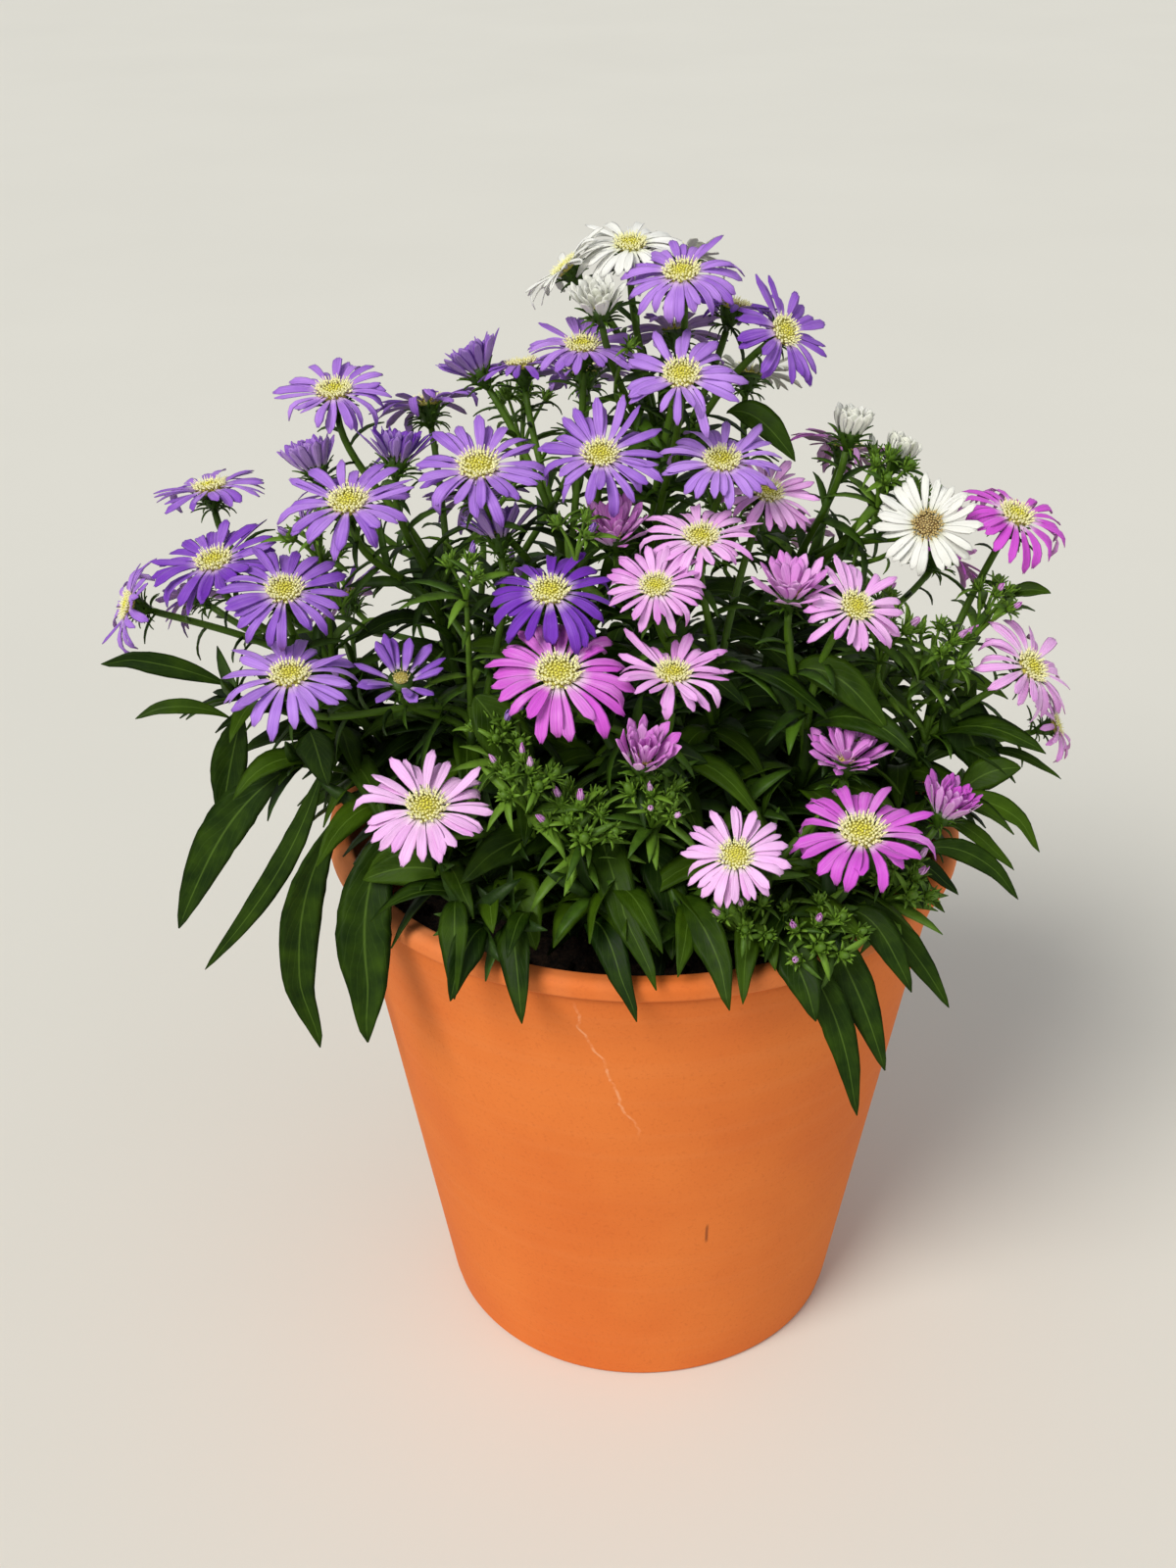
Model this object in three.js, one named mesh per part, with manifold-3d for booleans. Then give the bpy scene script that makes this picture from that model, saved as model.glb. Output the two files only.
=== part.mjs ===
// A potted aster: three plants of a low garden aster, flowering violet, pink and white, that share a clay pot.
// Millimetres, +Z up. The origin is the centre of the pot's underside, and -Y is the front.
import * as THREE from "three";
import { mergeVertices } from "three/addons/utils/BufferGeometryUtils.js";
import Module from "manifold-3d";

const wasm = await Module();
wasm.setup();

// Driving dimensions
const POT_HEIGHT = 190;
const POT_BASE_R = 70;
const POT_SIDE_R = 101.3; // radius that the straight side would reach at the top
const POT_LIP_R = 105;
const POT_WALL = 8;
const POT_FLOOR = 12;
const DRAIN_R = 5;
const DRAIN_RING_R = 32; // the drain holes' distance from the centre
const DRAINS = 3;
const SOIL_EDGE = 150; // height of the soil at the pot's wall
const SOIL_CROWN = 158; // and at the middle
const GAP = 0.3; // clearance between neighbouring pieces
const CROWN_R = 8; // the woody root crown that all of a plant's stems leave
const CROWN_DEPTH = 14;
const STEM_R = 1.7;
const TWIG_R = 1;
const RECEPTACLE = 8; // depth of the green cup behind an open flower
const RAY_LOBES = 7; // the flower solid's outline has this many scallops
const FORK_SHARE = 0.66; // how far towards its flowers a stem runs before it forks
const CROWN_RISE = 0.35; // share of its height that a stem rises straight out of the crown
const FORK_RISE = 0.45; // and straight up into its fork
const TWIG_STRETCH = 0.3; // the twigs leave a stem along this share of it, back from its fork
const TWIG_BEND = 0.35; // share of its length over which a twig bends at either end
const LEAF_TURN = THREE.MathUtils.degToRad(137.5); // from one leaf to the next, round the stem
const LEAF_SPACING = 17;
const LOW_LEAF = 72; // leaf length near the soil
const HIGH_LEAF = 40; // and where the stem forks
const LEAF_SLIMNESS = 0.23; // width over length
const LEAF_THICKNESS = 1;
const FINEST_EDGE = 0.05; // smaller edges that a cut leaves are closed up
const SAME_POINT = 0.001; // corners closer than this are one
const TOUCH_VOLUME = 0.0001; // pieces that share less than this don't meet

const UP = new THREE.Vector3(0, 0, 1);
const vec = (x, y, z) => new THREE.Vector3(x, y, z);
const radians = THREE.MathUtils.degToRad;

// Each plant's root crown, on the soil
const PLANTS = {
  violet: { crown: vec(-30, 5, SOIL_CROWN), petals: "#8f6fd6" },
  pink: { crown: vec(28, -25, SOIL_CROWN), petals: "#dc93dc" },
  white: { crown: vec(25, 32, SOIL_CROWN), petals: "#f2f0ea" },
};

// The open flowers, by stem. Each row is the place of the disc's foot, the bearing that the flower leans to,
// counted from +X towards +Y, its lean from upright in degrees, and the reach of its rays.
const FLOWERS = {
  violet: {
    a: [[10, -5, 370, -105, 22, 17], [26, 16, 355, 40, 20, 15], [40, -5, 353, -45, 52, 16],
      [10, -25, 346, -90, 28, 17], [9, 27, 344, 95, 40, 15]],
    b: [[-19, 0, 347, -90, 10, 16], [-38, 14, 337, 120, 15, 15], [-48, -35, 322, -95, 24, 19],
      [-13, -33, 325, -85, 28, 17], [22, -30, 322, -90, 20, 17]],
    c: [[-94, 0, 333, -100, 12, 17], [-86, -38, 312, -100, 18, 19], [-70, 35, 318, 110, 30, 17]],
    d: [[-138, 14, 297, 150, 8, 18], [-131, -20, 286, -120, 14, 19], [-106, -42, 286, -80, 22, 18],
      [-160, -16, 270, -160, 66, 14], [-146, 8, 264, 160, 60, 14]],
    e: [[-103, -60, 267, -90, 12, 19], [-27, -56, 292, -95, 20, 18]],
    f: [[-100, 55, 282, 140, 36, 18], [-60, 78, 272, 110, 46, 18], [-20, 58, 322, 95, 30, 18],
      [-108, 78, 232, 140, 56, 16]],
  },
  pink: {
    g: [[16, -46, 305, -90, 18, 16], [36, -20, 309, -60, 24, 15], [3, -63, 297, -90, 26, 14]],
    h: [[-24, -76, 276, -90, 24, 20], [8, -76, 276, -80, 12, 16]],
    i: [[60, -56, 288, -60, 38, 15]],
    j: [[112, -10, 298, -40, 24, 17], [118, -26, 255, -35, 46, 17], [132, -8, 226, -10, 66, 12]],
    k: [[62, -90, 233, -85, 14, 20], [26, -101, 232, -90, 36, 15]],
    l: [[-62, -86, 238, -80, 24, 18]],
    m: [[50, 92, 254, 70, 50, 17], [66, 52, 298, 55, 34, 17], [100, 48, 262, 35, 44, 18]],
  },
  white: {
    n: [[-5, 12, 374, -90, 14, 16], [-24, 10, 368, 175, 42, 14], [12, 38, 365, 60, 34, 14]],
    o: [[84, -20, 299, -95, 56, 15], [34, 68, 318, 75, 30, 16]],
    p: [[0, 102, 238, 95, 54, 15]],
  },
};

// Half-open flowers, part of the stem that carries them: place, bearing, lean and reach
const HALF_OPEN = {
  violet: {
    b: [[-52, 12, 337, 160, 34, 9]],
    c: [[-75, -8, 316, 70, 14, 9], [-104, 12, 306, 150, 20, 8]],
    e: [[-72, -50, 262, -80, 26, 11], [-44, -22, 297, 110, 22, 9]],
  },
  pink: {
    g: [[-9, -38, 303, -100, 18, 9]],
    i: [[42, -52, 291, -80, 16, 9]],
    h: [[0, -88, 256, -70, 24, 8]],
    k: [[60, -58, 240, -80, 12, 10], [92, -52, 220, -10, 20, 8]],
  },
  white: {
    n: [[-14, -8, 362, -110, 22, 8]],
    o: [[62, 2, 322, 0, 8, 7], [78, 8, 312, 20, 22, 6]],
  },
};

// Long leaves that hang over the rim or stand out at the sides: foot, tip, width, and how far the leaf
// arches above the line between them. Their upper sides face forwards, to the light.
const RIM_LEAF_FACE = vec(0, -0.8, 0.6);
const RIM_LEAVES = [
  [vec(-108, -38, 226), vec(-150, -46, 171), 15, 3],
  [vec(-99, -44, 227), vec(-136, -57, 159), 8, 8],
  [vec(-93, -50, 216), vec(-107, -62, 136), 13, 8],
  [vec(-75, -61, 219), vec(-82, -90, 158), 17, 12],
  [vec(-128, -17, 233), vec(-138, -23, 197), 12, 2],
  [vec(40, -88, 197), vec(64, -113, 151), 10, 12],
  [vec(50, -80, 199), vec(73, -105, 162), 12, 10],
  [vec(60, -72, 201), vec(92, -88, 172), 9, 8],
  [vec(100, -16, 214), vec(131, -28, 216), 9, 6],
];

// ---- solids ----

// A closed manifold solid of a three.js geometry, without the flat triangles that a lathe leaves on its axis
function solidOf(geometry) {
  const bare = geometry.clone();
  bare.deleteAttribute("normal");
  bare.deleteAttribute("uv");
  const merged = mergeVertices(bare, SAME_POINT);
  const corners = merged.index.array;
  const triVerts = [];
  for (let i = 0; i < corners.length; i += 3) {
    const [a, b, c] = corners.slice(i, i + 3);
    if (a !== b && b !== c && c !== a) triVerts.push(a, b, c);
  }
  return new wasm.Manifold(
    new wasm.Mesh({
      numProp: 3,
      vertProperties: merged.attributes.position.array,
      triVerts: new Uint32Array(triVerts),
    }),
  );
}

// The three.js geometry of a manifold solid, flat shaded
function geometryOf(solid) {
  const { numProp, vertProperties, triVerts } = solid.getMesh();
  const positions = new Float32Array((vertProperties.length / numProp) * 3);
  for (let i = 0; i < positions.length / 3; i++)
    positions.set(vertProperties.subarray(i * numProp, i * numProp + 3), i * 3);
  const indexed = new THREE.BufferGeometry();
  indexed.setAttribute("position", new THREE.BufferAttribute(positions, 3));
  indexed.setIndex(new THREE.BufferAttribute(triVerts, 1));
  const geometry = indexed.toNonIndexed();
  geometry.computeVertexNormals();
  return geometry;
}

// A solid of revolution about Z, from [radius, height] points that run from the axis to the axis
function turned(profile, segments) {
  const points = profile.map(([r, z]) => new THREE.Vector2(r, z));
  return new THREE.LatheGeometry(points, segments).rotateX(Math.PI / 2);
}

// A round bar along a curve
function bar(curve, radius, sides, steps) {
  const section = new THREE.Shape(
    Array.from({ length: sides }, (_, i) => {
      const angle = (2 * Math.PI * i) / sides;
      return new THREE.Vector2(radius * Math.cos(angle), radius * Math.sin(angle));
    }),
  );
  return solidOf(new THREE.ExtrudeGeometry(section, { steps, extrudePath: curve }));
}

// ---- pot and soil ----

const sideRadius = (z) => POT_BASE_R + ((POT_SIDE_R - POT_BASE_R) * z) / POT_HEIGHT;
const innerRadius = (z) => sideRadius(z) - POT_WALL;

function terracottaPot() {
  const flare = POT_HEIGHT - 30; // the side turns outwards a little over its last stretch
  const groove = POT_HEIGHT - 8;
  const profile = [
    [0, 0],
    [POT_BASE_R - 2, 0],
    [POT_BASE_R, 2],
    [sideRadius(flare), flare],
    [POT_SIDE_R - 1.5, groove - 6],
    [POT_SIDE_R, groove - 1],
    [POT_SIDE_R - 0.4, groove],
    [POT_LIP_R - 0.7, groove + 1.4],
    [POT_LIP_R, groove + 3],
    [POT_LIP_R - 0.5, POT_HEIGHT - 1.4],
    [POT_LIP_R - 2, POT_HEIGHT],
    [POT_LIP_R - 5, POT_HEIGHT],
    [POT_LIP_R - 7.2, POT_HEIGHT - 2],
    [innerRadius(flare), flare],
    [innerRadius(POT_FLOOR) - 1, POT_FLOOR + 2],
    [innerRadius(POT_FLOOR) - 4, POT_FLOOR],
    [0, POT_FLOOR],
  ];
  let pot = solidOf(turned(profile, 36));
  for (let i = 0; i < DRAINS; i++) {
    const angle = (2 * Math.PI * (i + 0.25)) / DRAINS;
    const drain = new THREE.CylinderGeometry(DRAIN_R, DRAIN_R, 4 * POT_FLOOR, 12)
      .rotateX(Math.PI / 2)
      .translate(DRAIN_RING_R * Math.cos(angle), DRAIN_RING_R * Math.sin(angle), 0);
    pot = pot.subtract(solidOf(drain));
  }
  return pot;
}

function pottingSoil() {
  const foot = POT_FLOOR + 3;
  return solidOf(
    turned(
      [
        [0, POT_FLOOR + GAP],
        [innerRadius(POT_FLOOR) - 6, POT_FLOOR + GAP],
        [innerRadius(foot) - 2, foot],
        [innerRadius(SOIL_EDGE) - 1, SOIL_EDGE],
        [innerRadius(SOIL_EDGE) * 0.55, SOIL_CROWN - 2],
        [0, SOIL_CROWN],
      ],
      36,
    ),
  );
}

// ---- flowers ----

// The direction that a flower or bud faces
function facing(bearing, lean) {
  const out = Math.sin(radians(lean));
  return vec(out * Math.cos(radians(bearing)), out * Math.sin(radians(bearing)), Math.cos(radians(lean)));
}

// Turns a geometry made round +Z to face along a direction, and moves it to its place
function placed(geometry, place, direction) {
  const turn = new THREE.Quaternion().setFromUnitVectors(UP, direction);
  return geometry.applyQuaternion(turn).translate(place.x, place.y, place.z);
}

// An open flower: a cup of bracts, a scalloped plate of rays and a low domed disc
function openFlower([x, y, z, bearing, lean, reach], grow = 0) {
  const geometry = turned(
    [
      [0, -RECEPTACLE - grow],
      [4.5 + grow, -4.5 - grow],
      [reach + grow, 0],
      [5.5 + grow, 2 + grow],
      [0, 4 + grow],
    ],
    2 * RAY_LOBES,
  );
  const corners = geometry.attributes.position;
  for (let i = 0; i < corners.count; i++) {
    const radius = Math.hypot(corners.getX(i), corners.getY(i));
    if (radius < reach - 1) continue;
    const turn = Math.atan2(corners.getY(i), corners.getX(i));
    const share = 0.9 + 0.1 * Math.cos(RAY_LOBES * turn);
    corners.setX(i, corners.getX(i) * share);
    corners.setY(i, corners.getY(i) * share);
  }
  return solidOf(placed(geometry, vec(x, y, z), facing(bearing, lean)));
}

// A half-open flower: its rays still stand up in a cup
function halfOpenFlower([x, y, z, bearing, lean, reach], grow = 0) {
  const geometry = turned(
    [
      [0, -RECEPTACLE - grow],
      [3.5 + grow, -4.5 - grow],
      [reach + grow, 6 + grow],
      [0, 4 + grow],
    ],
    10,
  );
  return solidOf(placed(geometry, vec(x, y, z), facing(bearing, lean)));
}

const stemEnd = ([x, y, z, bearing, lean], back) =>
  vec(x, y, z).addScaledVector(facing(bearing, lean), -back);

// ---- stems ----

// A stem leaves the root crown upwards and bends over towards its flowers
function mainStem(crown, flowers) {
  const middle = vec(0, 0, 0);
  for (const [x, y, z] of flowers) middle.add(vec(x, y, z).divideScalar(flowers.length));
  const fork = crown.clone().lerp(middle, FORK_SHARE);
  const rise = fork.z - crown.z;
  return new THREE.CubicBezierCurve3(
    crown.clone(),
    crown.clone().addScaledVector(UP, CROWN_RISE * rise),
    fork.clone().addScaledVector(UP, -FORK_RISE * rise),
    fork,
  );
}

// A twig leaves the stem's upper part and meets the flower from behind
function twig(stem, flower, order, count, back) {
  const start = stem.getPoint(1 - (TWIG_STRETCH * order) / count);
  const end = stemEnd(flower, back);
  const length = start.distanceTo(end);
  const out = facing(flower[3], flower[4]);
  return new THREE.CubicBezierCurve3(
    start,
    start.clone().addScaledVector(stem.getTangent(1), TWIG_BEND * length),
    end.clone().addScaledVector(out, -TWIG_BEND * length),
    end,
  );
}

// ---- leaves ----

// A lance-shaped leaf along a curve, its upper side towards face. Its section is a low triangle, whose width
// follows the blade's outline.
function leafSolid(spine, width, stations, face, grow = 0) {
  const section = new THREE.Shape([
    new THREE.Vector2(-0.5, 0.4),
    new THREE.Vector2(0, -0.6),
    new THREE.Vector2(0.5, 0.4),
  ]);
  const geometry = new THREE.ExtrudeGeometry(section, { depth: 1, steps: stations, bevelEnabled: false });
  const across = spine.getPoint(1).sub(spine.getPoint(0)).cross(face).normalize();
  const corners = geometry.attributes.position;
  for (let i = 0; i < corners.count; i++) {
    const along = corners.getZ(i);
    const normal = spine.getTangent(along).cross(across).normalize();
    const blade = width * (0.1 + 0.9 * Math.sin(Math.PI * along ** 0.85)) + 2 * grow;
    const point = spine.getPoint(along);
    point.addScaledVector(across, corners.getX(i) * blade);
    point.addScaledVector(normal, corners.getY(i) * (LEAF_THICKNESS + 2 * grow));
    corners.setXYZ(i, point.x, point.y, point.z);
  }
  return solidOf(geometry);
}

const archedLeaf = (foot, tip, arch) =>
  new THREE.QuadraticBezierCurve3(foot, foot.clone().lerp(tip, 0.45).addScaledVector(UP, 2 * arch), tip);

// The leaf that grows at one point of a stem, towards one bearing: it rises and then droops
function stemLeaf(foot, turn, length) {
  const out = vec(Math.cos(turn), Math.sin(turn), 0);
  const tip = foot.clone().addScaledVector(out, length).addScaledVector(UP, -0.1 * length);
  return archedLeaf(foot, tip, 0.2 * length);
}

// ---- assembly ----

const volumeShared = (a, b) => a.intersect(b).volume();

function boxesMeet(a, b) {
  const [p, q] = [a.boundingBox(), b.boundingBox()];
  return [0, 1, 2].every((k) => p.min[k] <= q.max[k] && q.min[k] <= p.max[k]);
}

const touchesAny = (solid, others) =>
  others.some((other) => boxesMeet(solid, other) && volumeShared(solid, other) > TOUCH_VOLUME);

// The biggest of a solid's separate bodies
const mainBody = (solid) =>
  solid
    .simplify(FINEST_EDGE)
    .decompose()
    .reduce((best, body) => (body.volume() > best.volume() ? body : best));

function rootCrown(crown, grow = 0) {
  const r = CROWN_R + grow;
  const profile = [
    [0, -CROWN_DEPTH - grow],
    [0.6 * r, -0.8 * CROWN_DEPTH - grow],
    [r, 0],
    [0.6 * r, 4 + grow],
    [0, 5 + grow],
  ];
  return solidOf(turned(profile, 10).translate(crown.x, crown.y, crown.z));
}

// A plant's crown, stems, twigs and half-open flowers, as bare wood, without leaves
function woodOf(plant, grow = 0) {
  const { crown } = PLANTS[plant];
  const pieces = [rootCrown(crown, grow)];
  for (const [letter, flowers] of Object.entries(FLOWERS[plant])) {
    const stem = mainStem(crown, flowers);
    const halfOpen = HALF_OPEN[plant][letter] ?? [];
    pieces.push(bar(stem, STEM_R + grow, 5, 5));
    flowers.forEach((flower, i) => {
      const curve = twig(stem, flower, i, flowers.length, RECEPTACLE + 2 * GAP);
      pieces.push(bar(curve, TWIG_R + grow, 4, 4));
    });
    halfOpen.forEach((flower, i) => {
      const curve = twig(stem, flower, i + 0.5, halfOpen.length + 1, RECEPTACLE - 1);
      pieces.push(bar(curve, TWIG_R + grow, 4, 4));
      pieces.push(halfOpenFlower(flower, grow));
    });
  }
  return wasm.Manifold.union(pieces);
}

// The leaves along one plant's stems, longest near the soil. One that would meet another piece is left out.
function leavesOf(plant, others) {
  const { crown } = PLANTS[plant];
  const leaves = [];
  for (const flowers of Object.values(FLOWERS[plant])) {
    const stem = mainStem(crown, flowers);
    const count = Math.floor(stem.getLength() / LEAF_SPACING);
    for (let i = 1; i <= count; i++) {
      const along = i / count;
      const length = THREE.MathUtils.lerp(LOW_LEAF, HIGH_LEAF, along);
      const spine = stemLeaf(stem.getPoint(along), i * LEAF_TURN, length);
      if (!touchesAny(leafSolid(spine, LEAF_SLIMNESS * length, 3, UP, GAP), others))
        leaves.push(leafSolid(spine, LEAF_SLIMNESS * length, 3, UP));
    }
  }
  return leaves;
}

const object = new THREE.Group();

function addPiece(name, solid, color, roughness) {
  const mesh = new THREE.Mesh(
    geometryOf(solid),
    new THREE.MeshStandardMaterial({ color, roughness, metalness: 0 }),
  );
  mesh.name = name;
  object.add(mesh);
  return solid;
}

const pot = addPiece("terracotta_pot", terracottaPot(), "#d9793f", 0.85);
const plants = Object.keys(PLANTS);
const crownsGrown = plants.map((plant) => rootCrown(PLANTS[plant].crown, GAP));
const bed = wasm.Manifold.difference([pottingSoil(), ...crownsGrown]);
const soil = addPiece("potting_soil", bed, "#2c211b", 1);

// The stems are grown by the gap to cut the flowers that they pass, so that a stem runs between two rays
const woodGrown = Object.fromEntries(plants.map((plant) => [plant, woodOf(plant, GAP)]));
const flowerCutters = [];
for (const plant of plants)
  for (const [letter, flowers] of Object.entries(FLOWERS[plant]))
    flowers.forEach((flower, i) => {
      const cutters = [...Object.values(woodGrown), ...flowerCutters].filter((other) =>
        boxesMeet(openFlower(flower), other),
      );
      const solid = mainBody(wasm.Manifold.difference([openFlower(flower), ...cutters]));
      flowerCutters.push(openFlower(flower, GAP));
      addPiece(`${plant}_flower_${letter}${i + 1}`, solid, PLANTS[plant].petals, 0.6);
    });

const rimLeaves = RIM_LEAVES.map(([foot, tip, width, arch], i) => {
  const solid = leafSolid(archedLeaf(foot, tip, arch), width, 6, RIM_LEAF_FACE);
  return addPiece(`rim_leaf_${i + 1}`, solid, "#2f5130", 0.5);
});

const placedPieces = [pot, soil, ...flowerCutters, ...rimLeaves];
for (const plant of plants) {
  const neighbours = plants.filter((other) => other !== plant).map((other) => woodGrown[other]);
  const leaves = leavesOf(plant, [...placedPieces, ...neighbours]);
  const solid = mainBody(wasm.Manifold.union([woodOf(plant), ...leaves]));
  placedPieces.push(solid);
  addPiece(`${plant}_aster_stems`, solid, "#3c6a35", 0.6);
}

export default object;
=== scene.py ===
import math
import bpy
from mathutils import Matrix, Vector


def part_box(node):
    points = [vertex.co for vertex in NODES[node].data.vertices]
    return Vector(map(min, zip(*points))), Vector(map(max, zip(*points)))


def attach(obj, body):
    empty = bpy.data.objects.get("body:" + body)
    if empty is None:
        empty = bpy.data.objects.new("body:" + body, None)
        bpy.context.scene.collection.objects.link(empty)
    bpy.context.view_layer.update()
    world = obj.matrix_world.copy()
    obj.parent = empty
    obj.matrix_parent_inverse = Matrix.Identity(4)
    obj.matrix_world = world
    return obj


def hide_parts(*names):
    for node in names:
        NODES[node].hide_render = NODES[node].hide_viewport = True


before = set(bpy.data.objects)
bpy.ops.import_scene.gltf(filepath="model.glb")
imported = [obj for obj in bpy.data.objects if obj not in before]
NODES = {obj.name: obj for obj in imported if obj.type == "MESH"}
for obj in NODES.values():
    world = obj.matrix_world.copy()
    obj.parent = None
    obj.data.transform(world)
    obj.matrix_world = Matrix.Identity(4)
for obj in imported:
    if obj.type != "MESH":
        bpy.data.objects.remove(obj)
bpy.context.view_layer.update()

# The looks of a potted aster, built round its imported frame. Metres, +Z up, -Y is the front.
import zlib

import bpy
import numpy as np
from mathutils import Matrix

MM = 0.001
TAU = 2 * math.pi
GOLDEN_TURN = math.radians(137.5)  # from one leaf or floret to the next
UP = np.array([0.0, 0.0, 1.0])

# The pot, as in the frame
POT_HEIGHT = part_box("terracotta_pot")[1].z
POT_LIP_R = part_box("terracotta_pot")[1].x
POT_BASE_R = 0.070
POT_SIDE_R = 0.1013  # radius that the straight side would reach at the top
POT_WALL = 0.008
POT_FLOOR = 0.012
DRAIN_R = 0.005
DRAIN_RING_R = 0.032
DRAINS = 3
SOIL_CROWN = 0.158
SOIL_EDGE = 0.150  # the soil's height at the pot's wall
SOIL_GAP = 0.0012  # between the soil and the wall

# The plants, as in the frame
CROWNS = {"violet": (-0.030, 0.005), "pink": (0.028, -0.025), "white": (0.025, 0.032)}
RECEPTACLE = 0.008  # depth of the green cup behind an open flower
FLOWER_DEPTH = 0.012  # from the foot of that cup to the top of the disc
RAY_THICKNESS, BRACT_THICKNESS, LEAF_THICKNESS = 0.00022, 0.0003, 0.0004
FACE_SPACE = 0.040  # kept free of leaves in front of an open flower
RAY_STRETCH = 1.12  # rays droop, so they are longer than the reach of their solid
FORK_SHARE = 0.66
LEAF_SPACING = 0.017  # along a stem that bears flowers
SHOOT_LEAF_SPACING = 0.0062
TWIG_LEAF_SPACING = 0.0055
STEM_ROWS, SHOOT_ROWS = 26, 14  # points along a stem's spine
LOW_LEAF = 0.072
HIGH_LEAF = 0.040
SMALL_LEAF = 0.72  # size of the leaves between, as a share
LEAF_SLIMNESS = 0.23
LEAF_FACE = np.array([0.0, -0.8, 0.6])  # the way that the long leaves' upper sides face

# Half-open flowers: the radius that sizes the cup, and the disc's own
HALF_OPEN_CUP = 0.0048
HALF_OPEN_DISC = 0.0026

# Half-open flowers, as in the frame: place in mm, bearing and lean in degrees, reach in mm
HALF_OPEN = {
    "violet": {
        "b": [(-52, 12, 337, 160, 34, 9)],
        "c": [(-75, -8, 316, 70, 14, 9), (-104, 12, 306, 150, 20, 8)],
        "e": [(-72, -50, 262, -80, 26, 11), (-44, -22, 297, 110, 22, 9)],
    },
    "pink": {
        "g": [(-9, -38, 303, -100, 18, 9)],
        "i": [(42, -52, 291, -80, 16, 9)],
        "h": [(0, -88, 256, -70, 24, 8)],
        "k": [(60, -58, 240, -80, 12, 10), (92, -52, 220, -10, 20, 8)],
    },
    "white": {
        "n": [(-14, -8, 362, -110, 22, 8)],
        "o": [(62, 2, 322, 0, 8, 7), (78, 8, 312, 20, 22, 6)],
    },
}


# ---- small tools ----


def seeded(name):
    """Random numbers that depend only on a piece's name."""
    return np.random.default_rng(zlib.crc32(name.encode()))


def unit(v):
    v = np.asarray(v, float)
    return v / np.linalg.norm(v, axis=-1, keepdims=True)


def facing(bearing, lean):
    """The direction that a flower faces, from its bearing and its lean from upright."""
    out = math.sin(math.radians(lean))
    turn = math.radians(bearing)
    return np.array([out * math.cos(turn), out * math.sin(turn), math.cos(math.radians(lean))])


def basis_of(direction, spin=0.0):
    """Columns: two directions square to the given one, and the given one."""
    z = unit(direction)
    x = unit(np.cross([0, 1, 0] if abs(z[1]) < 0.9 else [1, 0, 0], z))
    y = np.cross(z, x)
    c, s = math.cos(spin), math.sin(spin)
    return np.stack([c * x + s * y, c * y - s * x, z], axis=1)


def bezier(controls, count):
    """Points along a quadratic or cubic Bezier curve, one for each row."""
    t = np.linspace(0, 1, count)[:, None]
    rows = [np.asarray(p, float)[None] for p in controls]
    while len(rows) > 1:
        rows = [a * (1 - t) + b * t for a, b in zip(rows, rows[1:])]
    return rows[0]


def smooth(x, low, high):
    t = np.clip((x - low) / (high - low), 0, 1)
    return t * t * (3 - 2 * t)


# ---- meshes ----


class Cloud:
    """Gathers many small closed surfaces in one mesh. Each point has a mark that its material reads:
    how far along its leaf, petal or floret it is, how far across, a tint, and a second tint."""

    def __init__(self):
        self.points, self.faces, self.marks = [], [], []
        self.total = 0

    def add(self, points, faces, along=0.0, across=0.5, tint=0.5, shade=0.0):
        marks = np.empty((len(points), 4))
        for k, value in enumerate((along, across, tint, shade)):
            marks[:, k] = value
        self.points.append(points)
        self.faces.append(faces + self.total)
        self.marks.append(marks)
        self.total += len(points)

    def piece(self, name, material, slot, replaces=()):
        points, faces = np.concatenate(self.points), np.concatenate(self.faces)
        mesh = bpy.data.meshes.new(name)
        mesh.vertices.add(len(points))
        mesh.vertices.foreach_set("co", points.ravel())
        mesh.loops.add(faces.size)
        mesh.loops.foreach_set("vertex_index", faces.ravel())
        mesh.polygons.add(len(faces))
        mesh.polygons.foreach_set("loop_start", np.arange(0, faces.size, 3))
        mesh.update(calc_edges=True)
        mesh.shade_smooth()
        marks = mesh.attributes.new("mark", "FLOAT_COLOR", "POINT")
        marks.data.foreach_set("color", np.concatenate(self.marks).ravel())
        mesh.materials.append(material)
        piece = bpy.data.objects.new(name, mesh)
        bpy.context.scene.collection.objects.link(piece)
        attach(piece, "root")
        if replaces:
            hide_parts(*replaces)
        return piece


_BLADE_FACES = {}


def blade_faces(rows, columns):
    """Triangles of a blade: an upper and a lower skin that share their edge points, and closed ends."""
    if (rows, columns) in _BLADE_FACES:
        return _BLADE_FACES[rows, columns]
    inner = columns - 2

    def top(i, j):
        return i * columns + j

    def low(i, j):
        if j in (0, columns - 1):
            return top(i, j)
        return rows * columns + i * inner + j - 1

    faces = []

    def quad(a, b, c, d):
        for face in ((a, b, c), (a, c, d)):
            if len(set(face)) == 3:
                faces.append(face)

    for j in range(columns - 1):
        for i in range(rows - 1):
            quad(top(i, j), top(i, j + 1), top(i + 1, j + 1), top(i + 1, j))
            quad(low(i, j), low(i + 1, j), low(i + 1, j + 1), low(i, j + 1))
        quad(top(0, j), low(0, j), low(0, j + 1), top(0, j + 1))
        quad(top(rows - 1, j), top(rows - 1, j + 1), low(rows - 1, j + 1), low(rows - 1, j))
    _BLADE_FACES[rows, columns] = np.array(faces)
    return _BLADE_FACES[rows, columns]


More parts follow.
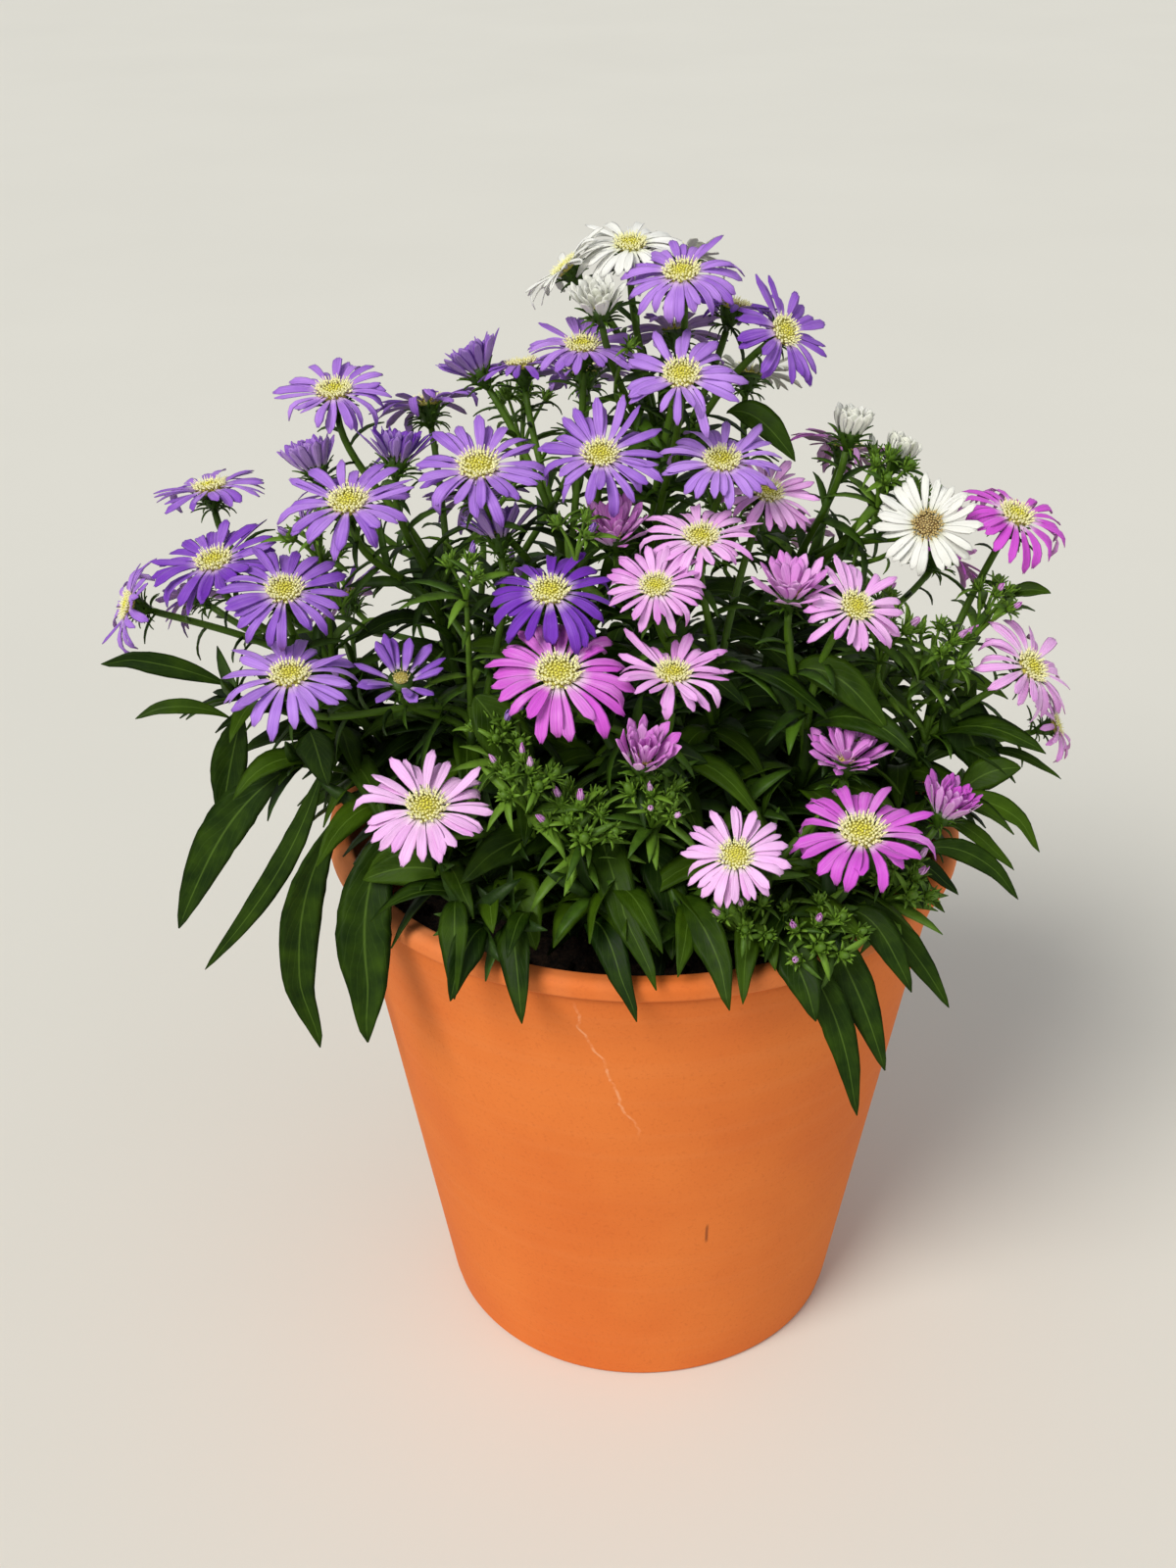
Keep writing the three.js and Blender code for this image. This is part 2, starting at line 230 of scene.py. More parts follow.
def add_blade(cloud, spine, across, width, relief, thickness, tint, shade=0.0, advance=0.0):
    """A petal, bract or leaf. relief is the height of each point above the spine, rows by columns,
    and advance moves points along the spine, which makes teeth and notches."""
    rows, columns = relief.shape
    tangent = unit(np.gradient(spine, axis=0))
    across = unit(across - np.sum(across * tangent, axis=1, keepdims=True) * tangent)
    normal = np.cross(across, tangent)
    v = np.linspace(-1, 1, columns)
    top = spine[:, None] + across[:, None] * (v[None, :, None] * width[:, None, None] / 2)
    top = top + normal[:, None] * relief[:, :, None]
    top = top + tangent[:, None] * (np.zeros((rows, columns)) + advance)[:, :, None]
    depth = thickness * (1 - 0.6 * v[1:-1] ** 2)
    low = top[:, 1:-1] - normal[:, None] * depth[None, :, None]
    u = np.linspace(0, 1, rows)
    along = np.concatenate([np.repeat(u, columns), np.repeat(u, columns - 2)])
    side = np.concatenate([np.tile(v, rows), np.tile(v[1:-1], rows)]) / 2 + 0.5
    points = np.concatenate([top.reshape(-1, 3), low.reshape(-1, 3)])
    under = np.concatenate([np.zeros(rows * columns), np.ones(rows * (columns - 2))])
    cloud.add(points, blade_faces(rows, columns), along, side, tint, shade + under)


def ring_faces(rings, sides):
    """Triangles of a tube of rings; the two end points come after the rings."""
    faces = []
    for i in range(rings - 1):
        for j in range(sides):
            a, b = i * sides + j, i * sides + (j + 1) % sides
            faces += [(a, b, b + sides), (a, b + sides, a + sides)]
    first, last, base = rings * sides, rings * sides + 1, (rings - 1) * sides
    for j in range(sides):
        faces.append((first, (j + 1) % sides, j))
        faces.append((last, base + j, base + (j + 1) % sides))
    return np.array(faces)


_TUBE_FACES = {}


def add_tube(cloud, spine, radii, sides, tint=0.5, shade=0.0):
    """A round stem along a spine, closed at both ends."""
    rings = len(spine)
    if (rings, sides) not in _TUBE_FACES:
        _TUBE_FACES[rings, sides] = ring_faces(rings, sides)
    tangent = unit(np.gradient(spine, axis=0))
    side = np.cross(tangent[0], [0.3, 0.9, 0.1])
    frames = []
    for t in tangent:
        side = unit(side - np.dot(side, t) * t)
        frames.append((side, np.cross(t, side)))
    turn = np.arange(sides) * TAU / sides
    side, other = np.array(frames).transpose(1, 0, 2)[:, :, None]
    ring = side * np.cos(turn)[None, :, None] + other * np.sin(turn)[None, :, None]
    points = spine[:, None] + ring * np.asarray(radii)[:, None, None]
    points = np.concatenate([points.reshape(-1, 3), spine[:1], spine[-1:]])
    along = np.concatenate([np.repeat(np.linspace(0, 1, rings), sides), [0, 1]])
    cloud.add(points, _TUBE_FACES[rings, sides], along, 0.5, tint, shade)


def add_turned(cloud, profile, segments, place=(0, 0, 0), basis=np.eye(3), tint=0.5, shade=0.0):
    """A solid of revolution. Its rows of radius and height run from the axis, down, out and up to it."""
    profile = np.asarray(profile, float)
    turn = np.arange(segments) * TAU / segments
    middle = profile[1:-1]
    ring = np.stack(
        [
            middle[:, :1] * np.cos(turn)[None],
            middle[:, :1] * np.sin(turn)[None],
            np.repeat(middle[:, 1:], segments, axis=1),
        ],
        axis=2,
    )
    ends = [[0, 0, profile[0, 1]], [0, 0, profile[-1, 1]]]
    points = np.concatenate([ring.reshape(-1, 3), ends])
    heights = np.concatenate([np.repeat(middle[:, 1], segments), profile[[0, -1], 1]])
    along = (heights - heights.min()) / max(np.ptp(heights), 1e-9)
    faces = ring_faces(len(middle), segments)
    cloud.add(points @ basis.T + np.asarray(place), faces, along, 0.5, tint, shade)


# ---- materials ----


def linear(red, green, blue):
    """A screen colour, 0 to 255, as the linear colour that a shader takes."""
    def one(c):
        c /= 255
        return c / 12.92 if c <= 0.04045 else ((c + 0.055) / 1.055) ** 2.4
    return (one(red), one(green), one(blue), 1.0)


class Finish:
    """Wires one material's nodes. A colour given as three numbers is a screen colour, 0 to 255."""

    def __init__(self, name, roughness, **constants):
        self.material = bpy.data.materials.new(name)
        self.material.use_nodes = True
        self.tree = self.material.node_tree
        self.shader = self.tree.nodes["Principled BSDF"]
        self.shader.inputs["Roughness"].default_value = roughness
        for socket, value in constants.items():
            self.shader.inputs[socket.replace("_", " ")].default_value = value

    def node(self, kind, inputs=(), output=0, **settings):
        node = self.tree.nodes.new("ShaderNode" + kind)
        for key, value in settings.items():
            setattr(node, key, value)
        for socket, value in dict(inputs).items():
            if isinstance(value, bpy.types.NodeSocket):
                self.tree.links.new(value, node.inputs[socket])
            else:
                node.inputs[socket].default_value = value
        return node.outputs[output]

    def math(self, operation, a, b=0.0):
        return self.node("Math", {0: a, 1: b}, operation=operation)

    def times(self, a, b):
        return self.math("MULTIPLY", a, b)

    def plus(self, a, b):
        return self.math("ADD", a, b)

    def minus(self, a, b):
        return self.math("SUBTRACT", a, b)

    def apart(self, a, b):
        """How far two values are from each other."""
        return self.math("ABSOLUTE", self.minus(a, b))

    def marks(self):
        """The along, across, tint and shade of a Cloud's points."""
        node = self.tree.nodes.new("ShaderNodeAttribute")
        node.attribute_name = "mark"
        parts = self.tree.nodes.new("ShaderNodeSeparateColor")
        self.tree.links.new(node.outputs["Color"], parts.inputs[0])
        return parts.outputs[0], parts.outputs[1], parts.outputs[2], node.outputs["Alpha"]

    def place(self):
        return self.node("TexCoord", output=3)

    def noise(self, scale, detail=3.0, vector=None, rough=0.55):
        inputs = {"Vector": vector or self.place(), "Scale": scale, "Detail": detail, "Roughness": rough}
        return self.node("TexNoise", inputs)

    def range(self, value, low, high, to_low=0.0, to_high=1.0):
        inputs = {0: value, 1: low, 2: high, 3: to_low, 4: to_high}
        return self.node("MapRange", inputs, interpolation_type="SMOOTHSTEP")

    def mix(self, share, a, b):
        a, b = (linear(*c) if isinstance(c, tuple) else c for c in (a, b))
        return self.node("Mix", {0: share, 6: a, 7: b}, output=2, data_type="RGBA")

    def tinge(self, color, mask, share, tone):
        """A colour with a share of another one laid over it where the mask is."""
        return self.mix(self.times(mask, share), color, tone)

    def combine(self, x, y, z):
        return self.node("CombineXYZ", {0: x, 1: y, 2: z})

    def color(self, value):
        self.tree.links.new(value, self.shader.inputs["Base Color"])

    def rough(self, value):
        self.tree.links.new(value, self.shader.inputs["Roughness"])

    def bump(self, height, distance, strength=0.6):
        normal = self.node("Bump", {"Height": height, "Distance": distance, "Strength": strength})
        self.tree.links.new(normal, self.shader.inputs["Normal"])


def petal_finish(name, pale, deep, base):
    """Rays: pale at the foot, veined lengthwise, a little deeper towards the tip."""
    f = Finish(name, 0.55, Specular_IOR_Level=0.25, Sheen_Weight=0.1, Sheen_Roughness=0.4)
    along, across, tint, under = f.marks()
    stripes = f.combine(f.times(across, 16.0), along, f.times(tint, 90.0))
    veins = f.range(f.noise(1.0, 2.0, stripes), 0.35, 0.65)
    blotch = f.minus(f.noise(160.0, 2.0), 0.5)
    share = f.plus(tint, f.times(blotch, 0.3))
    share = f.plus(share, f.times(veins, 0.16))
    share = f.plus(share, f.range(along, 0.55, 1.0, 0.0, 0.12))
    color = f.mix(f.range(share, 0.0, 1.1), pale, deep)
    color = f.mix(f.range(along, 0.34, 0.02), color, base)
    f.color(f.tinge(color, f.range(under, 0.4, 0.6), 0.35, base))
    f.bump(veins, 0.00025, 0.5)
    return f.material


def disc_finish():
    """Disc florets: lime in the middle of the disc, cream-yellow at its edge, brown in an old flower, with
    painted shade darkening the young florets towards their feet.
    """
    f = Finish("disc_florets", 0.6, Specular_IOR_Level=0.25)
    along, across, _, age = f.marks()
    young = f.mix(f.range(across, 0.2, 0.85), (246, 240, 84), (255, 252, 196))
    # painted shade: young florets turn dark olive towards their feet and on the dome between them
    young = f.mix(f.range(along, 0.3, 0.8), (170, 160, 22), young)
    old = f.mix(f.range(along, 0.3, 0.9), (96, 66, 24), (214, 188, 122))
    color = f.mix(f.range(age, 0.4, 0.6), young, old)
    speckle = f.noise(900.0, 2.0)
    f.color(f.tinge(color, f.range(speckle, 0.4, 0.7), 0.2, (255, 250, 190)))
    f.bump(speckle, 0.0002, 0.4)
    return f.material


def green_finish(name, dark, light):
    """Stems, bracts and buds: mottled, and darker towards the tip."""
    f = Finish(name, 0.5, Specular_IOR_Level=0.25)
    along, _, tint, _ = f.marks()
    mottle = f.minus(f.noise(260.0, 3.0), 0.5)
    share = f.plus(tint, f.times(mottle, 0.5))
    color = f.mix(f.range(share, 0.0, 1.0), dark, light)
    f.color(f.mix(f.range(along, 0.75, 1.0, 0.0, 0.25), color, dark))
    f.bump(f.noise(1400.0, 2.0), 0.0002, 0.5)
    return f.material


def leaf_finish():
    """Leaves: dark and satiny, with a pale midrib and faint side veins, and a greyer underside."""
    f = Finish("leaf", 0.5, Specular_IOR_Level=0.10)
    along, across, tint, under = f.marks()
    off = f.apart(across, 0.5)
    mottle = f.noise(120.0, 4.0)
    share = f.plus(tint, f.times(f.minus(mottle, 0.5), 0.8))
    color = f.mix(f.range(share, 0.0, 1.0), (15, 35, 2), (64, 92, 8))
    waver = f.times(f.noise(90.0, 2.0), 9.0)
    slant = f.minus(f.times(along, 48.0), f.times(off, 40.0))
    side_veins = f.range(f.math("SINE", f.plus(slant, waver)), 0.75, 1.0)
    midrib = f.range(off, 0.034, 0.010)
    color = f.tinge(color, side_veins, 0.06, (88, 120, 44))
    color = f.tinge(color, midrib, 0.32, (106, 138, 52))
    f.color(f.tinge(color, f.range(under, 0.4, 0.6), 0.45, (72, 98, 34)))
    f.bump(f.plus(f.times(side_veins, -0.25), f.times(mottle, 0.7)), 0.0004, 0.5)
    f.rough(f.range(mottle, 0.2, 0.8, 0.42, 0.6))
    return f.material


def terracotta_finish():
    """Unglazed clay: fine speckle, faint throwing lines, a patchy painted highlight along the top of the
    lip, a hairline and a dark scratch.
    """
    f = Finish("terracotta", 0.85, Specular_IOR_Level=0.2)
    place = f.place()
    parts = f.tree.nodes.new("ShaderNodeSeparateXYZ")
    f.tree.links.new(place, parts.inputs[0])
    x, y, z = parts.outputs
    cloud = f.noise(14.0, 4.0, place)
    grain = f.noise(900.0, 3.0, place)
    rings = f.noise(1.0, 3.0, f.combine(f.times(x, 6.0), f.times(y, 6.0), f.times(z, 260.0)))
    color = f.mix(f.range(cloud, 0.3, 0.72), (219, 112, 46), (228, 125, 56))
    color = f.tinge(color, f.range(grain, 0.52, 0.75), 0.25, (186, 84, 34))
    color = f.tinge(color, f.range(rings, 0.45, 0.7), 0.05, (240, 160, 100))
    # a patchy painted highlight, paler towards the top of the lip
    lip_highlight = f.times(f.range(z, POT_HEIGHT - 0.012, POT_HEIGHT), f.range(cloud, 0.35, 0.65))
    color = f.tinge(color, lip_highlight, 0.25, (240, 180, 140))
    # a pale wandering hairline on the front, and one short scratch below it
    wander = f.times(f.minus(f.noise(38.0, 4.0, f.combine(0.0, 0.0, z)), 0.5), 0.022)
    line_x = f.plus(f.times(f.minus(z, 0.17), -0.35), -0.017)
    off_line = f.apart(x, f.plus(line_x, wander))
    front = f.math("LESS_THAN", y, 0.0)
    stretch = f.times(f.range(z, 0.120, 0.135), f.range(z, 0.182, 0.172))
    hairline = f.times(f.times(f.range(off_line, 0.0007, 0.0002), stretch), front)
    broken = f.times(hairline, f.range(f.noise(300.0, 2.0), 0.42, 0.6, 0.08, 0.45))
    color = f.mix(broken, color, (248, 184, 138))
    off_scratch = f.apart(x, f.plus(0.022, f.times(wander, 0.2)))
    short = f.times(f.range(z, 0.068, 0.071), f.range(z, 0.079, 0.076))
    scratch = f.times(f.times(f.range(off_scratch, 0.0007, 0.0002), short), front)
    f.color(f.tinge(color, scratch, 0.7, (120, 58, 34)))
    f.bump(f.plus(f.times(grain, 0.5), f.times(rings, 0.4)), 0.0006, 0.3)
    f.rough(f.range(cloud, 0.3, 0.7, 0.72, 0.88))
    return f.material


def soil_finish():
    f = Finish("potting_soil", 0.95)
    crumbs = f.noise(420.0, 5.0, rough=0.7)
    color = f.mix(f.range(crumbs, 0.35, 0.7), (24, 18, 13), (78, 58, 42))
    f.color(f.mix(f.range(f.noise(1500.0, 2.0), 0.68, 0.76), color, (150, 134, 112)))
    f.bump(crumbs, 0.002, 0.8)
    return f.material


PETALS = {
    "violet": petal_finish("violet_petals", (206, 156, 246), (116, 48, 184), (232, 204, 246)),
    "pink": petal_finish("pink_petals", (255, 204, 252), (214, 84, 214), (255, 240, 252)),
    "white": petal_finish("white_petals", (253, 253, 248), (240, 240, 228), (246, 249, 222)),
}
DISC = disc_finish()
TWIG = green_finish("green_stem", (32, 54, 8), (88, 124, 26))
BRACT = green_finish("bract", (22, 44, 4), (80, 118, 24))
BUD = green_finish("bud", (44, 74, 12), (112, 150, 44))
LEAF = leaf_finish()
CLAY = terracotta_finish()
SOIL = soil_finish()


# ---- pot and soil ----


def side_radius(z):
    return POT_BASE_R + (POT_SIDE_R - POT_BASE_R) * z / POT_HEIGHT


def arc(center, radius, start, end, count):
    """Profile points on a round edge, angles in degrees from straight out."""
    turn = np.radians(np.linspace(start, end, count))
    return [(center[0] + radius * math.cos(t), center[1] + radius * math.sin(t)) for t in turn]


def pot_profile():
    flare, groove = POT_HEIGHT - 0.030, POT_HEIGHT - 0.0068
    inner = POT_LIP_R - 0.0075
    profile = [(0, 0), (POT_BASE_R - 0.002, 0)]
    profile += arc((POT_BASE_R - 0.002, 0.002), 0.002, -75, 0, 5)
    profile += [(side_radius(z), z) for z in np.linspace(0.005, flare, 14)]
    for t in np.linspace(0.1, 1, 10):
        z = flare + t * (groove - 0.001 - flare)
        profile.append((side_radius(z) + 0.0018 * smooth(t, 0, 1), z))
    foot = profile[-1][0]
    profile += [(foot - 0.0003, groove - 0.0004), (foot - 0.0004, groove + 0.0003)]
    profile += arc((POT_LIP_R - 0.0012, groove + 0.0018), 0.0012, -80, 0, 6)
    profile += [(POT_LIP_R, groove + 0.004)]
    profile += arc((POT_LIP_R - 0.0028, POT_HEIGHT - 0.0028), 0.0028, 8, 90, 8)
    profile += arc((inner + 0.003, POT_HEIGHT - 0.003), 0.003, 95, 180, 8)
    for t in np.linspace(0.15, 1, 8):
        z = POT_HEIGHT - 0.005 + t * (flare - POT_HEIGHT + 0.005)
        profile.append((inner + (side_radius(flare) - POT_WALL - inner) * smooth(t, 0, 1), z))
    profile += [(side_radius(z) - POT_WALL, z) for z in np.linspace(flare - 0.01, POT_FLOOR + 0.004, 8)]
    profile += arc((side_radius(POT_FLOOR) - POT_WALL - 0.003, POT_FLOOR + 0.003), 0.003, 0, -90, 5)
    return profile + [(0, POT_FLOOR)]


def make_pot():
    cloud = Cloud()
    add_turned(cloud, pot_profile(), 144)
    rng = seeded("pot")
    points = cloud.points[0]
    turn = np.arctan2(points[:, 1], points[:, 0])
    swing = 0.00025 * np.sin(2 * turn + 0.7) + 0.00015 * np.sin(5 * turn + rng.uniform(0, TAU))
    radius = np.hypot(points[:, 0], points[:, 1])
    share = np.where(radius > 0.04, 1 + (swing - 0.0004) / np.maximum(radius, 0.04), 1)
    points[:, :2] *= share[:, None]
    pot = cloud.piece("pot", CLAY, "terracotta", ["terracotta_pot"])
    for i in range(DRAINS):
        turn = TAU * (i + 0.25) / DRAINS
        bpy.ops.mesh.primitive_cylinder_add(
            vertices=32,
            radius=DRAIN_R,
            depth=4 * POT_FLOOR,
            location=(DRAIN_RING_R * math.cos(turn), DRAIN_RING_R * math.sin(turn), 0),
        )
        drill = bpy.context.object
        cut = pot.modifiers.new("drain", "BOOLEAN")
        cut.object = drill
        cut.operation = "DIFFERENCE"
        bpy.context.view_layer.objects.active = pot
        bpy.ops.object.modifier_apply(modifier=cut.name)
        bpy.data.objects.remove(drill)


def make_soil():
    """A lumpy bed: rings of points whose heights wander, over a plain underside that follows the pot."""
    rng = seeded("soil")
    rings, sides = 36, 120
    edge = side_radius(SOIL_EDGE) - POT_WALL - SOIL_GAP
    waves = [(rng.uniform(40, 240), rng.uniform(0, TAU), rng.uniform(0, TAU)) for _ in range(26)]
    profile = [(0, POT_FLOOR + 0.0004), (side_radius(POT_FLOOR) - POT_WALL - 0.005, POT_FLOOR + 0.0004)]
    profile += [(side_radius(z) - POT_WALL - SOIL_GAP, z) for z in np.linspace(0.018, 0.147, 6)]
    for share in np.arange(rings) / rings:
        profile.append((edge * (1 - share), SOIL_EDGE + 0.006 * smooth(share, 0, 0.6)))
    profile += [(0, 0.156)]
    cloud = Cloud()
    add_turned(cloud, profile, sides)
    points = cloud.points[0]
    top = points[:, 2] > SOIL_EDGE - 0.0005
    x, y = points[top, 0], points[top, 1]
    bumps = sum(np.sin(k * (x * math.cos(a) + y * math.sin(a)) + p) for k, a, p in waves)
    points[top, 2] += 0.0004 * bumps + rng.normal(0, 0.0005, top.sum())
    for _ in range(260):
        size = rng.uniform(0.0012, 0.0035)
        r, a = edge * math.sqrt(rng.uniform(0.02, 0.93)), rng.uniform(0, TAU)
        place = (r * math.cos(a), r * math.sin(a), 0.1545 + 0.3 * size)
        basis = basis_of(rng.normal(size=3), rng.uniform(0, TAU)) * rng.uniform(0.5, 1.2, 3)
        lump = size * np.array([(0, -1), (0.7, -0.6), (1, 0.1), (0.6, 0.8), (0, 1)])
        add_turned(cloud, lump, 7, place, basis)
    cloud.piece("soil", SOIL, "soil", ["potting_soil"])


# ---- flowers ----


def read_flower(name):
    """Where an open flower of the frame is, the direction it faces, and the reach of its rays."""
    mesh = NODES[name].data
    co = np.unique(np.round([v.co[:] for v in mesh.vertices], 6), axis=0)
    gaps = np.linalg.norm(co[:, None] - co[None], axis=2)
    outer = co[np.argsort(-gaps.max(axis=1))[:8]]
    normal = np.linalg.svd(outer - outer.mean(axis=0))[2][2]
    best, foot, top = 1.0, None, None
    for i, j in zip(*np.where(np.abs(gaps - FLOWER_DEPTH) < 0.0002)):
        miss = 1 - abs(np.dot(unit(co[j] - co[i]), normal))
        if i < j and miss < best:
            best, foot, top = miss, co[i], co[j]
    middle = (foot + top) / 2
    if np.dot(outer.mean(axis=0) - middle, top - foot) < 0:
        foot, top = top, foot
    direction = unit(top - foot)
    place = foot + RECEPTACLE * direction
    reach = np.linalg.norm(co - place, axis=1).max()
    return {"name": name, "place": place, "facing": direction, "reach": reach}


def reach_and_rise(pitch, root, step):
    """How far out and how far up each row of a ray or bract is, as two columns."""
    out = root + np.concatenate([[0], np.cumsum(np.cos(pitch[1:]) * step)])
    rise = np.concatenate([[0], np.cumsum(np.sin(pitch[1:]) * step)])
    return out[:, None], rise[:, None]


def add_ray(cloud, rng, spot, basis, turn, root, length, width, lift, bend, tint,
            rows=8, columns=7, curl=0.0):
    """One strap-shaped ray: narrow at its foot, grooved, with a blunt and slightly toothed tip."""
    u = np.linspace(0, 1, rows)
    pitch = lift + bend * u**1.4 + curl * smooth(u, 0.55, 1.0)
    sway = rng.normal(0, 0.10)
    out, rise = reach_and_rise(pitch, root, length / max(np.cos(pitch[1:]).sum(), 0.8 * (rows - 1)))
    radial = np.array([math.cos(turn), math.sin(turn), 0])
    side = np.array([-math.sin(turn), math.cos(turn), 0])
    spine = radial * out + UP * rise + side * (sway * length * u**2)[:, None]
    twist = rng.normal(0, 0.22) * u + rng.normal(0, 0.12)
    normal = -radial * np.sin(pitch)[:, None] + UP * np.cos(pitch)[:, None]
    # across runs clockwise, so that the upper skin faces up
    across = -side * np.cos(twist)[:, None] + normal * np.sin(twist)[:, None]
    blade_width = width * (0.34 + 0.66 * smooth(u, 0, 0.62))
    tip = np.clip((u - 0.82) / 0.18, 0, 1)
    blade_width = blade_width * np.sqrt(np.maximum(1 - tip**2, 0.10))
    v = np.linspace(-1, 1, columns)
    cup = rng.uniform(0.02, 0.16) * (1 if rng.random() < 0.75 else -1)
    relief = blade_width[:, None] * (cup * v[None] ** 2 + 0.035 * np.cos(3 * math.pi * v)[None])
    advance = np.zeros((rows, columns))
    advance[-1] = length * 0.02 * np.cos(3 * math.pi * v)
    advance[-2] = length * 0.012 * (1 - v**2)
    spine = spine @ basis.T + spot
    add_blade(cloud, spine, across @ basis.T, blade_width, relief, RAY_THICKNESS, tint, advance=advance)


def add_rays(cloud, rng, flower, tint, count, lift, bend, curling):
    """A flower's whorl of rays, in two loose layers."""
    reach = flower["reach"]
    disc = flower["disc"]
    basis = basis_of(flower["facing"], rng.uniform(0, TAU))
    for i in range(count):
        layer = i % 2
        turn = TAU * (i + rng.uniform(-0.38, 0.38)) / count
        root = 0.72 * disc
        pitch = lift + rng.normal(0, 0.12) + 0.10 * layer
        sag = bend + rng.normal(0, 0.28) - 0.12 * layer
        length = (RAY_STRETCH * reach - root) * rng.normal(1.0, 0.08) * (1 - 0.05 * layer)
        width = reach * rng.uniform(0.165, 0.24)
        tip_curl = rng.uniform(-1.3, -0.5) if rng.random() < curling else 0.0
        spot = flower["place"] + basis[:, 2] * (0.0006 - 0.0007 * layer)
        hue = tint + rng.normal(0, 0.07)
        add_ray(cloud, rng, spot, basis, turn, root, length, width, pitch, sag, hue, curl=tip_curl)


def add_disc(cloud, rng, flower, age=0.0, count=104):
    """The domed disc: a tight spiral of florets, open and taller at its edge, in bud at its middle.
    Cream styles stand round its edge like a crown."""
    disc, basis = flower["disc"], basis_of(flower["facing"], rng.uniform(0, TAU))
    place = flower["place"]
    dome = [(0, -0.25 * disc), (0.8 * disc, -0.2 * disc), (0.9 * disc, 0.05 * disc)]
    dome += [(0.9 * disc * math.cos(t), 0.05 * disc + 0.24 * disc * math.sin(t)) for t in (0.5, 1.0)]
    add_turned(cloud, dome + [(0, 0.30 * disc)], 16, place, basis, shade=age)
    # the dome takes a low along mark, so it shows the painted shade between the florets
    cloud.marks[-1][:, 0] = 0.45
    for i in range(count):
        share = math.sqrt((i + 0.5) / count)
        turn = i * GOLDEN_TURN
        open_share = smooth(share, 0.45, 0.9)
        radius = 0.93 * disc * share
        height = disc * (0.05 + 0.30 * math.sqrt(max(1 - 0.95 * share**2, 0)))
        tilt = 0.55 * share + rng.normal(0, 0.12)
        out = np.array([math.cos(turn), math.sin(turn), 0])
        axis = unit(UP * math.cos(tilt) + out * math.sin(tilt) + rng.normal(0, 0.08, 3))
        length = disc * (0.20 + 0.18 * open_share) * rng.uniform(0.8, 1.25)
        size = disc * (0.046 + 0.014 * open_share)
        foot = out * radius + UP * (height - 0.12 * disc)
        # bud florets end in a knob, open ones in a flared mouth
        profile = [(0, 0), (0.75 * size, 0.02 * length), (0.8 * size, 0.62 * length)]
        profile += [(1.5 * size, 0.88 * length), (0, (1.08 - 0.24 * open_share) * length)]
        turned_basis = basis @ basis_of(axis, rng.uniform(0, TAU))
        add_turned(cloud, profile, 5, place + basis @ foot, turned_basis, shade=age)
        cloud.marks[-1][:, 1] = share
        if open_share > 0.35 or rng.random() < 0.15:
            base = place + basis @ (foot + axis * 0.8 * length)
            tip = base + basis @ (unit(axis + 0.25 * out) * disc * rng.uniform(0.16, 0.34))
            add_tube(cloud, np.stack([base, tip]), [0.55 * size, 0.40 * size], 4, 1, age)
            cloud.marks[-1][:, :2] = 1


def add_bract(cloud, spot, basis, turn, root, length, width, lift, bend, tint, rows=6, free=False):
    """One narrow green bract. A free one is left out where it would run into an open flower or the pot."""
    u = np.linspace(0, 1, rows)
    pitch = lift + bend * u
    out, rise = reach_and_rise(pitch, root, length / (rows - 1))
    radial = np.array([math.cos(turn), math.sin(turn), 0])
    side = np.array([math.sin(turn), -math.cos(turn), 0])
    spine = (radial * out + UP * rise) @ basis.T + spot
    if free and not (clears_pot(spine, 0.5 * width) and clears_flowers(spine)):
        return
    blade_width = width * (0.55 + 0.45 * np.sin(math.pi * u**0.8)) * np.sqrt(np.maximum(1 - u**3, 0.02))
    v = np.linspace(-1, 1, 3)
    relief = blade_width[:, None] * 0.22 * np.abs(v)[None]
    across = np.repeat((basis @ side)[None], rows, axis=0)
    add_blade(cloud, spine, across, blade_width, relief, BRACT_THICKNESS, tint)


def add_cup(cloud, rng, flower, spread=0.35, count=26):
    """The green cup behind a flower, with its rows of bracts and the stem's thick end."""
    disc, basis = flower["disc"], basis_of(flower["facing"], rng.uniform(0, TAU))
    place = flower["place"]
    depth = RECEPTACLE * flower.get("cup", 1.0)
    bowl = [(0, -depth), (0.16 * disc, -depth), (0.30 * disc, -0.82 * depth), (0.66 * disc, -0.5 * depth)]
    bowl += [(0.82 * disc, -0.2 * depth), (0.80 * disc, -0.06 * depth), (0, -0.02 * depth)]
    add_turned(cloud, bowl, 14, place, basis, tint=0.4)
    for i in range(count):
        row = i % 3
        turn = TAU * (i + rng.uniform(-0.2, 0.2)) / count
        spot = place + basis[:, 2] * depth * (-0.30 - 0.24 * row)
        length = disc * rng.uniform(0.75, 1.05) * (1 + 0.12 * row)
        lift = 1.05 - spread * (0.6 + 0.8 * row) + rng.normal(0, 0.10)
        root = disc * (0.74 - 0.18 * row)
        bend = -0.5 - 0.9 * row * spread + rng.normal(0, 0.2)
        add_bract(cloud, spot, basis, turn, root, length, disc * 0.2, lift, bend, rng.uniform(0.35, 0.9))


# How deep each flower's colour is, where it isn't left to chance: 0 is pale and 1 is deep
DEPTH_OF_COLOR = {
    "violet b3": 0.42, "violet a3": 0.62, "violet e2": 0.95, "violet a2": 0.9,
    "violet d2": 0.7, "violet e1": 0.3, "violet c2": 0.4, "violet b4": 0.4,
    "pink h1": 0.72, "pink k1": 0.78, "pink j1": 0.95, "pink g3": 0.32,
    "pink l1": 0.12, "pink k2": 0.1, "pink i1": 0.25, "pink h2": 0.35,
    "pink m3": 0.8,
}
DROOPING = {"white n1": -0.9, "pink j1": -0.9, "violet e2": -0.8}
CURLING = {"pink k1": 0.4, "pink j1": 0.6, "pink h1": 0.25, "pink l1": 0.25}
OLD = {"white o1": 1.0}


